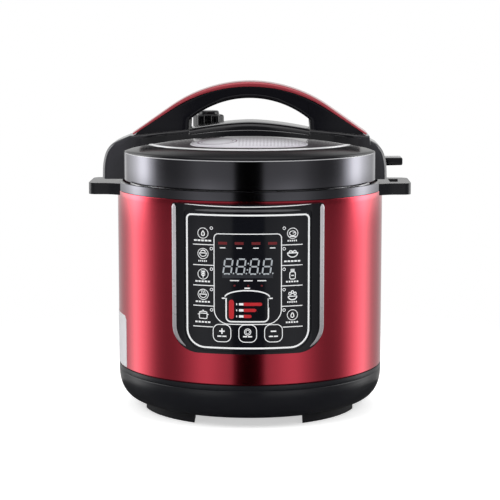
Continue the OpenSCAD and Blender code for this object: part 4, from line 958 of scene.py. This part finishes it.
# %% Lamps and chart
LAMPS_X, DOTS_X = (-23.6, -8, 7.8, 23.4), (-12.5, 0.5, 13.3)
dim_strokes = [(bar(x - 4.2, x + 4.2, DISPLAY_Z + 22 + d), 0.9) for x in LAMPS_X for d in (-0.8, 0, 0.8)]
dim_strokes += [(ring(x, DISPLAY_Z - 18.2, 0.55, 12), 0.8) for x in DOTS_X]
lay_print("dim_lamps", dim_strokes, dim_red_ink, "cooker", 0.05)

CHART_LOW, CHART_TOP = FILM_LOW + 28.8, FILM_LOW + 58.5
white_strokes += [(bar(x - 2.6, x + 2.6, DISPLAY_Z + 17.6), 0.9) for x in LAMPS_X]
white_strokes += [(bar(x - 4.2, x + 4.2, DISPLAY_Z - 13.4), 0.9) for x in DOTS_X]
pot_line = np.vstack([bar(-24.4, -20.4, CHART_TOP - 7.4), [[-20.4, CHART_LOW + 5]],
                      arc(-15.9, CHART_LOW + 4.5, 4.5, 180, 270, 8), bar(-12, 11, CHART_LOW),
                      arc(15.1, CHART_LOW + 4.5, 4.5, 270, 360, 8), [[19.6, CHART_TOP - 7.4]],
                      bar(20.4, 23.6, CHART_TOP - 7.4)])
white_strokes += [(arc(-0.4, CHART_TOP - 6.8, 21.4, 8, 172, 36, 7.0), 1.2),
                  (bar(-3, 2.2, CHART_TOP + 2.4), 1.2), (pot_line, 1.25)]
COLUMN_X, COLUMN_LOW, COLUMN_TOP, LEVELS_X = -15.4, CHART_LOW + 5, CHART_LOW + 18.6, -9.4
red_strokes = [([[COLUMN_X, COLUMN_LOW], [COLUMN_X, COLUMN_TOP]], 4.8),
               (arc(COLUMN_X, COLUMN_LOW, 1.2, 180, 360, 10), 2.4),
               (arc(COLUMN_X, COLUMN_TOP, 1.2, 0, 180, 10), 2.4)]
for length, level in ((11.5, 5.2), (16, 11), (21.5, 16.8)):
    z = CHART_LOW + level
    red_strokes += [(bar(LEVELS_X + 5.6, LEVELS_X + length, z), 3.1),
                    (arc(LEVELS_X + length, z, 0.78, -90, 90, 8), 1.56)]
    white_strokes += [(bar(LEVELS_X + 1.2, LEVELS_X + 5.4, z), 2.2),
                      (bar(LEVELS_X - 1.5, LEVELS_X - 0.6, z), 1.7)]


def key_middle(node):
    """Middle of a key in the front view."""
    low, high = box_mm(node)
    return (low[0] + high[0]) / 2, (low[2] + high[2]) / 2


for node in ("key_up", "key_stop", "key_down"):
    cx, cz = key_middle(node)
    white_strokes += [(rounded(cx - 8.4, cx + 8.4, cz - 8.3, cz + 8.3, 5.6, 5.6), 0.75)]
lay_print("chart_red", red_strokes, red_ink, "cooker", 0.05)
lay_print("panel_print", white_strokes, white_ink, "cooker", 0.06)

# %% [markdown]
# ### Keys
#
# The three keys are round caps that move in by half a millimetre. Their signs move with them, so
# each sign rides on its key's body: a plus, a ring and a minus, with a small bar under each.

# %% Signs on the keys
for node, body in (("key_up", "plus_key"), ("key_stop", "stop_key"), ("key_down", "minus_key")):
    cx, cz = key_middle(node)
    lines = [(bar(cx - 4.4, cx - 0.5, cz - 2.9), 1.2), (bar(cx + 0.3, cx + 4.2, cz - 2.9), 1.2)]
    if body == "stop_key":
        lines += [(ring(cx, cz + 1.6, 3.0, 30), 0.7), (ring(cx, cz + 1.6, 1.7, 24), 0.5)]
    else:
        lines += [(bar(cx - 2.6, cx + 2.6, cz + 2), 1.3)]
    if body == "plus_key":
        lines += [([[cx, cz - 0.6], [cx, cz + 4.6]], 1.3)]
    lay_print(body.replace("key", "sign"), lines, white_ink, body, 0.38)

# %% [markdown]
# ## Silver plate on the lid
#
# A thin oval plate lies on the dome. In plan it is an ellipse; every point takes the dome's
# height, z = rim + rise (1 - (r / R)^2). Rows of fine dots fill its right half.


# %% Plate that follows the dome
def on_dome(x, y, lift):
    """Plan points laid on the dome."""
    return joined(x, y, dome_z(np.hypot(x, y)) + lift)


plate_x, plate_y = label_high[0], (label_high[1] - label_low[1]) / 2
plate_mid = (label_high[1] + label_low[1]) / 2
share = np.array([0.0, 0.25, 0.5, 0.7, 0.85, 0.95, 0.99, 1.0])[:, None]
angle = np.linspace(0, 2 * math.pi, 96, endpoint=False)
plan_x, plan_y = plate_x * share * np.cos(angle), plate_mid + plate_y * share * np.sin(angle)
lift = np.array([0.3, 0.3, 0.3, 0.3, 0.3, 0.3, 0.27, 0.12])[:, None]
face, under = on_dome(plan_x, plan_y, lift), on_dome(plan_x, plan_y, 0.03)
# The plate's finish is painted darker towards the handle, as painted shade.
grid_piece("oval_plate", np.vstack([face, under[::-1]]), plate_silver, "lid",
           ["lid_label"], 60, wrap_rows=True)

plate_ink = finish("plate_ink", (0.11, 0.05, 0.1), 0, 0.45)
plate_strokes = [(ring(0, plate_mid, plate_x - 2.4, 96, plate_y - 1.6), 0.35),
                 (ring(-31, plate_mid + 2, 19, 48, 15), 1.1),
                 (ring(-31, plate_mid + 2, 15.4, 48, 11.6), 0.6)]
for y in plate_mid + 20 - 5 * np.arange(9):
    reach = plate_x * math.sqrt(max(0.0, 1 - ((y - plate_mid) / plate_y) ** 2)) - 6
    plate_strokes += [([[x, y], [x + 1.7, y]], 0.9) for x in np.arange(-10, reach, 3.4)]
lay_print("plate_pattern", plate_strokes, plate_ink, "lid", 0.36, on_dome, (0, 0, 1))

# %% [markdown]
# ## Pressure release knob
#
# A fluted knob turns on the valve. Its outline in plan is a circle with rounded hollows:
# r = R - h ((1 - cos(n a)) / 2)^p, and the hollows fade towards its bevelled top.


# %% Fluted knob
KNOB_R, FLUTES, FLUTE_DEPTH = 16.2, 9, 1.5
knob_x, knob_y = knob_high[0] - KNOB_R, knob_high[1] - KNOB_R
knob_low_z, knob_top_z, boss_z = knob_low[2], knob_low[2] + 16.5, knob_high[2]


def knob_grid():
    """Rows (radius, height, share of the flutes) from the hollow underside to the raised boss."""
    foot = [(11, 2.6, 0), (12, 0.4, 0), (15.6, 0, 1), (16.1, 0.5, 1), (KNOB_R, 1.5, 1)]
    rim = [(KNOB_R, -2.2, 1), (16, -1.2, 1), (15.5, -0.5, 0.9), (14.6, 0, 0.7), (12, 0, 0),
           (11.4, 0.3, 0), (11.1, 1, 0)]
    boss = [(10.6, -1, 0), (10.1, -0.3, 0), (9.2, 0, 0), (3, 0, 0)]
    rows = np.vstack([np.add(part, [0, z, 0]) for part, z in
                      ((foot, knob_low_z), (rim, knob_top_z), (boss, boss_z))])
    a = np.linspace(0, 2 * math.pi, 240, endpoint=False)
    hollow = FLUTE_DEPTH * (0.5 - 0.5 * np.cos(FLUTES * a)) ** 1.4
    radius = rows[:, :1] - rows[:, 2:] * hollow
    return joined(knob_x + radius * np.sin(a), knob_y - radius * np.cos(a), rows[:, 1:2])


knob_black = finish("knob_black", (0.006, 0.006, 0.008), 0, 0.16, 900, 0.03)
grid_piece("fluted_knob", knob_grid(), knob_black, "knob", ["release_knob"], 50)
pointer = fillet([[knob_x - 4, knob_y - KNOB_R - 2.3], [knob_x + 4, knob_y - KNOB_R - 2.3],
                  [knob_x + 4, knob_y - 9], [knob_x - 4, knob_y - 9]], [1.4, 1.4, 0.2, 0.2])
pointer_z, inset = np.array([[-9, 0.94], [-8.4, 1], [-0.9, 1], [-0.1, 0.9]]).T[..., None]
middle = pointer.mean(0)
pointer_xy = middle + (pointer - middle) * inset[..., None]
grid_piece("knob_pointer", joined(pointer_xy[..., 0], pointer_xy[..., 1], knob_top_z + pointer_z),
           knob_black, "knob", sharp=50)
print("knob middle at", round(knob_x, 1), round(knob_y, 1))

# %% [markdown]
# ## Studio
#
# The cooker stands on a white floor in even light. Gloss and metal show what surrounds them, so
# a round screen stands about the cooker as in a product studio: black and white cloths hang on
# it. It is seen only in reflections. Its brightness follows the angle round the cooker.


# %% Floor and sky
FLOOR_LIFT = 0.55
WHITE = (1, 1, 1, 1)


def floor_material():
    """White that takes shadows; seen by the camera it is lifted a little, and it fades into the
    white surroundings with the distance from the middle."""
    material, tree = new_tree("studio_floor")
    paint = tree.nodes["Principled BSDF"]
    fill(paint, {"Base Color": (0.9, 0.9, 0.9, 1), "Roughness": 0.7, "Emission Color": WHITE})
    rays = add_node(tree, "LightPath")
    lift = add_node(tree, "Math", {1: FLOOR_LIFT}, operation="MULTIPLY")
    coords = add_node(tree, "TexCoord")
    away = add_node(tree, "VectorMath", operation="LENGTH")
    fade = add_node(tree, "MapRange", {"From Min": 0.20, "From Max": 0.55},
                    interpolation_type="SMOOTHSTEP")
    clear, both = add_node(tree, "BsdfTransparent"), add_node(tree, "MixShader")
    wire(tree, (rays, "Is Camera Ray", lift, 0), (lift, 0, paint, "Emission Strength"),
         (coords, "Object", away, 0), (away, "Value", fade, "Value"),
         (fade, "Result", both, "Fac"), (paint, 0, both, 1), (clear, 0, both, 2),
         (both, 0, tree.nodes["Material Output"], "Surface"))
    return material


def backdrop(name, points, faces, material, *unseen_by):
    """A mesh in metres that belongs to the studio; some kinds of ray pass it by."""
    mesh = bpy.data.meshes.new(name)
    mesh.from_pydata(points, [], faces)
    mesh.materials.append(material)
    thing = add_object(name, mesh)
    for ray in unseen_by:
        setattr(thing, "visible_" + ray, False)
    return thing


floor = backdrop("floor", [(-2, -2, 0), (2, -2, 0), (2, 2, 0), (-2, 2, 0)], [(0, 1, 2, 3)],
                 floor_material(), "glossy")

world = bpy.data.worlds.new("studio")
bpy.context.scene.world = world
world.use_nodes = True
sky_tree = world.node_tree
sky = sky_tree.nodes["Background"]
rays = add_node(sky_tree, "LightPath")
seen, seen_through = (add_node(sky_tree, "Math", operation="ADD", use_clamp=True) for _ in range(2))
level = add_node(sky_tree, "MapRange", {"To Min": 0.62, "To Max": 1.0})
wire(sky_tree, (rays, "Is Camera Ray", seen, 0), (rays, "Is Glossy Ray", seen, 1),
     (seen, 0, seen_through, 0), (rays, "Is Transmission Ray", seen_through, 1),
     (seen_through, 0, level, "Value"), (level, "Result", sky, "Strength"))
fill(sky, {"Color": WHITE})

# %% Cloths on the screen
SCREEN_R, SCREEN_LOW, SCREEN_TOP = 0.48, -0.09, 1.1
# Angle from the front in degrees and brightness: near the floor, at the lid's height and high up.
LOW_CLOTHS = [(0, 0.0), (10.6, 0.0), (11.8, 0.32), (20, 0.38), (25, 0.46), (30, 0.52), (36, 0.5),
              (44, 0.33), (52, 0.2), (59, 0.145), (66, 0.14), (74, 0.2), (80, 0.38), (91, 0.95),
              (102, 1.38), (110, 0.85), (118, 0.46), (126, 0.38), (134, 0.38), (150, 0.5), (180, 0.7)]
HIGH_CLOTHS = [(0, 0.0), (10.8, 0.0), (11.4, 0.2), (40, 0.22), (50, 0.13), (60, 0.08), (70, 0.08),
               (76, 0.15), (81, 0.3), (88, 1.4), (96, 3.3), (103, 3.2), (112, 1.9), (122, 1.15),
               (134, 0.62), (150, 0.85), (164, 0.8), (180, 0.7)]
TOP_CLOTHS = [(0, 0.02), (10.8, 0.02), (12.5, 0.5), (40, 0.45), (60, 0.18), (90, 0.2), (130, 0.22),
              (150, 0.12), (180, 0.12)]
BRIGHTEST = max(bright for _, bright in LOW_CLOTHS + HIGH_CLOTHS + TOP_CLOTHS)
CHANGES_Z = ((0.14, 0.205), (0.5, 0.75))        # low to high, high to top, in metres
ALL_BUT_GLOSSY = ("camera", "diffuse", "shadow", "transmission")


def cloth_curve(tree, cloths):
    """Brightness against the angle as a broken line; both run from 0 to 1."""
    curve = add_node(tree, "FloatCurve")
    line = curve.mapping.curves[0]
    line.points[0].location = (0, cloths[0][1] / BRIGHTEST)
    line.points[1].location = (1, cloths[-1][1] / BRIGHTEST)
    for degrees, bright in cloths[1:-1]:
        line.points.new(degrees / 180, bright / BRIGHTEST)
    for point in line.points:
        point.handle_type = "VECTOR"
    curve.mapping.update()
    return curve


def screen_material():
    """Emission that follows the angle from the front, round the vertical axis. Going up, the low
    curve changes to the high one at the lid, and to the top one above the cooker."""
    material, tree = new_tree("screen_cloths")
    tree.nodes.clear()
    coords = add_node(tree, "TexCoord")
    rotated = add_node(tree, "Mapping", {"Rotation": (0, 0, math.pi / 2)})
    angle = add_node(tree, "TexGradient", gradient_type="RADIAL")
    centred = add_node(tree, "Math", {1: 0.5}, operation="SUBTRACT")
    size = add_node(tree, "Math", operation="ABSOLUTE")
    doubled = add_node(tree, "Math", {1: 2}, operation="MULTIPLY")
    parts = add_node(tree, "SeparateXYZ")
    wire(tree, (coords, "Object", rotated, "Vector"), (rotated, "Vector", angle, "Vector"),
         (angle, "Fac", centred, 0), (centred, 0, size, 0), (size, 0, doubled, 0),
         (coords, "Object", parts, 0))
    below, output = cloth_curve(tree, LOW_CLOTHS), "Value"
    wire(tree, (doubled, 0, below, "Value"))
    for cloths, (start, end) in zip((HIGH_CLOTHS, TOP_CLOTHS), CHANGES_Z):
        step = add_node(tree, "MapRange", {"From Min": start, "From Max": end},
                        interpolation_type="SMOOTHSTEP")
        curve, mix = cloth_curve(tree, cloths), add_node(tree, "Mix")
        wire(tree, (parts, "Z", step, "Value"), (doubled, 0, curve, "Value"),
             (step, "Result", mix, "Factor"), (below, output, mix, "A"), (curve, "Value", mix, "B"))
        below, output = mix, "Result"
    stronger = add_node(tree, "Math", {1: BRIGHTEST}, operation="MULTIPLY")
    glow, out = add_node(tree, "Emission"), add_node(tree, "OutputMaterial")
    wire(tree, (below, output, stronger, 0), (stronger, 0, glow, "Strength"),
         (glow, 0, out, "Surface"))
    return material


turn = np.linspace(0, 2 * math.pi, 96, endpoint=False)
edges = joined(SCREEN_R * np.cos(turn), SCREEN_R * np.sin(turn), [[SCREEN_LOW], [SCREEN_TOP]])
screen = backdrop("screen", edges.reshape(-1, 3).tolist(), grid_faces(2, 96, False, True).tolist(),
                  screen_material(), *ALL_BUT_GLOSSY)

# A black cloth under the floor keeps the underside of the bowl dark in reflections.
pit_paint, pit_tree = new_tree("pit_cloth")
fill(pit_tree.nodes["Principled BSDF"], {"Base Color": (0.01, 0.01, 0.012, 1)})
pit = backdrop("pit_cloth", edges[0].tolist(), [tuple(range(96))], pit_paint, *ALL_BUT_GLOSSY)
print("screen with", len(LOW_CLOTHS) + len(HIGH_CLOTHS) + len(TOP_CLOTHS), "points of brightness")


# %% Soft lamps
def soft_lamp(name, place_at, size, watts):
    """A square area lamp at a place in metres, aimed at the middle of the cooker."""
    data = bpy.data.lights.new(name, "AREA")
    data.shape, data.size, data.energy = "SQUARE", size, watts
    lamp = add_object(name, data)
    lamp.location = place_at
    x, y, z = AIM_AT - place_at
    lamp.rotation_euler = (math.pi / 2 + math.atan2(z, math.hypot(x, y)), 0, math.atan2(-x, y))
    lamp.visible_glossy = False


AIM_AT = np.array((0, 0, 0.17))
soft_lamp("lamp_left", (-1.1, -1.2, 1.3), 0.9, 14)
soft_lamp("lamp_right", (1.2, -1.0, 1.2), 0.9, 11)
soft_lamp("lamp_back", (0.1, 1.2, 1.6), 0.9, 9)
print("lamps:", len(bpy.data.lights))
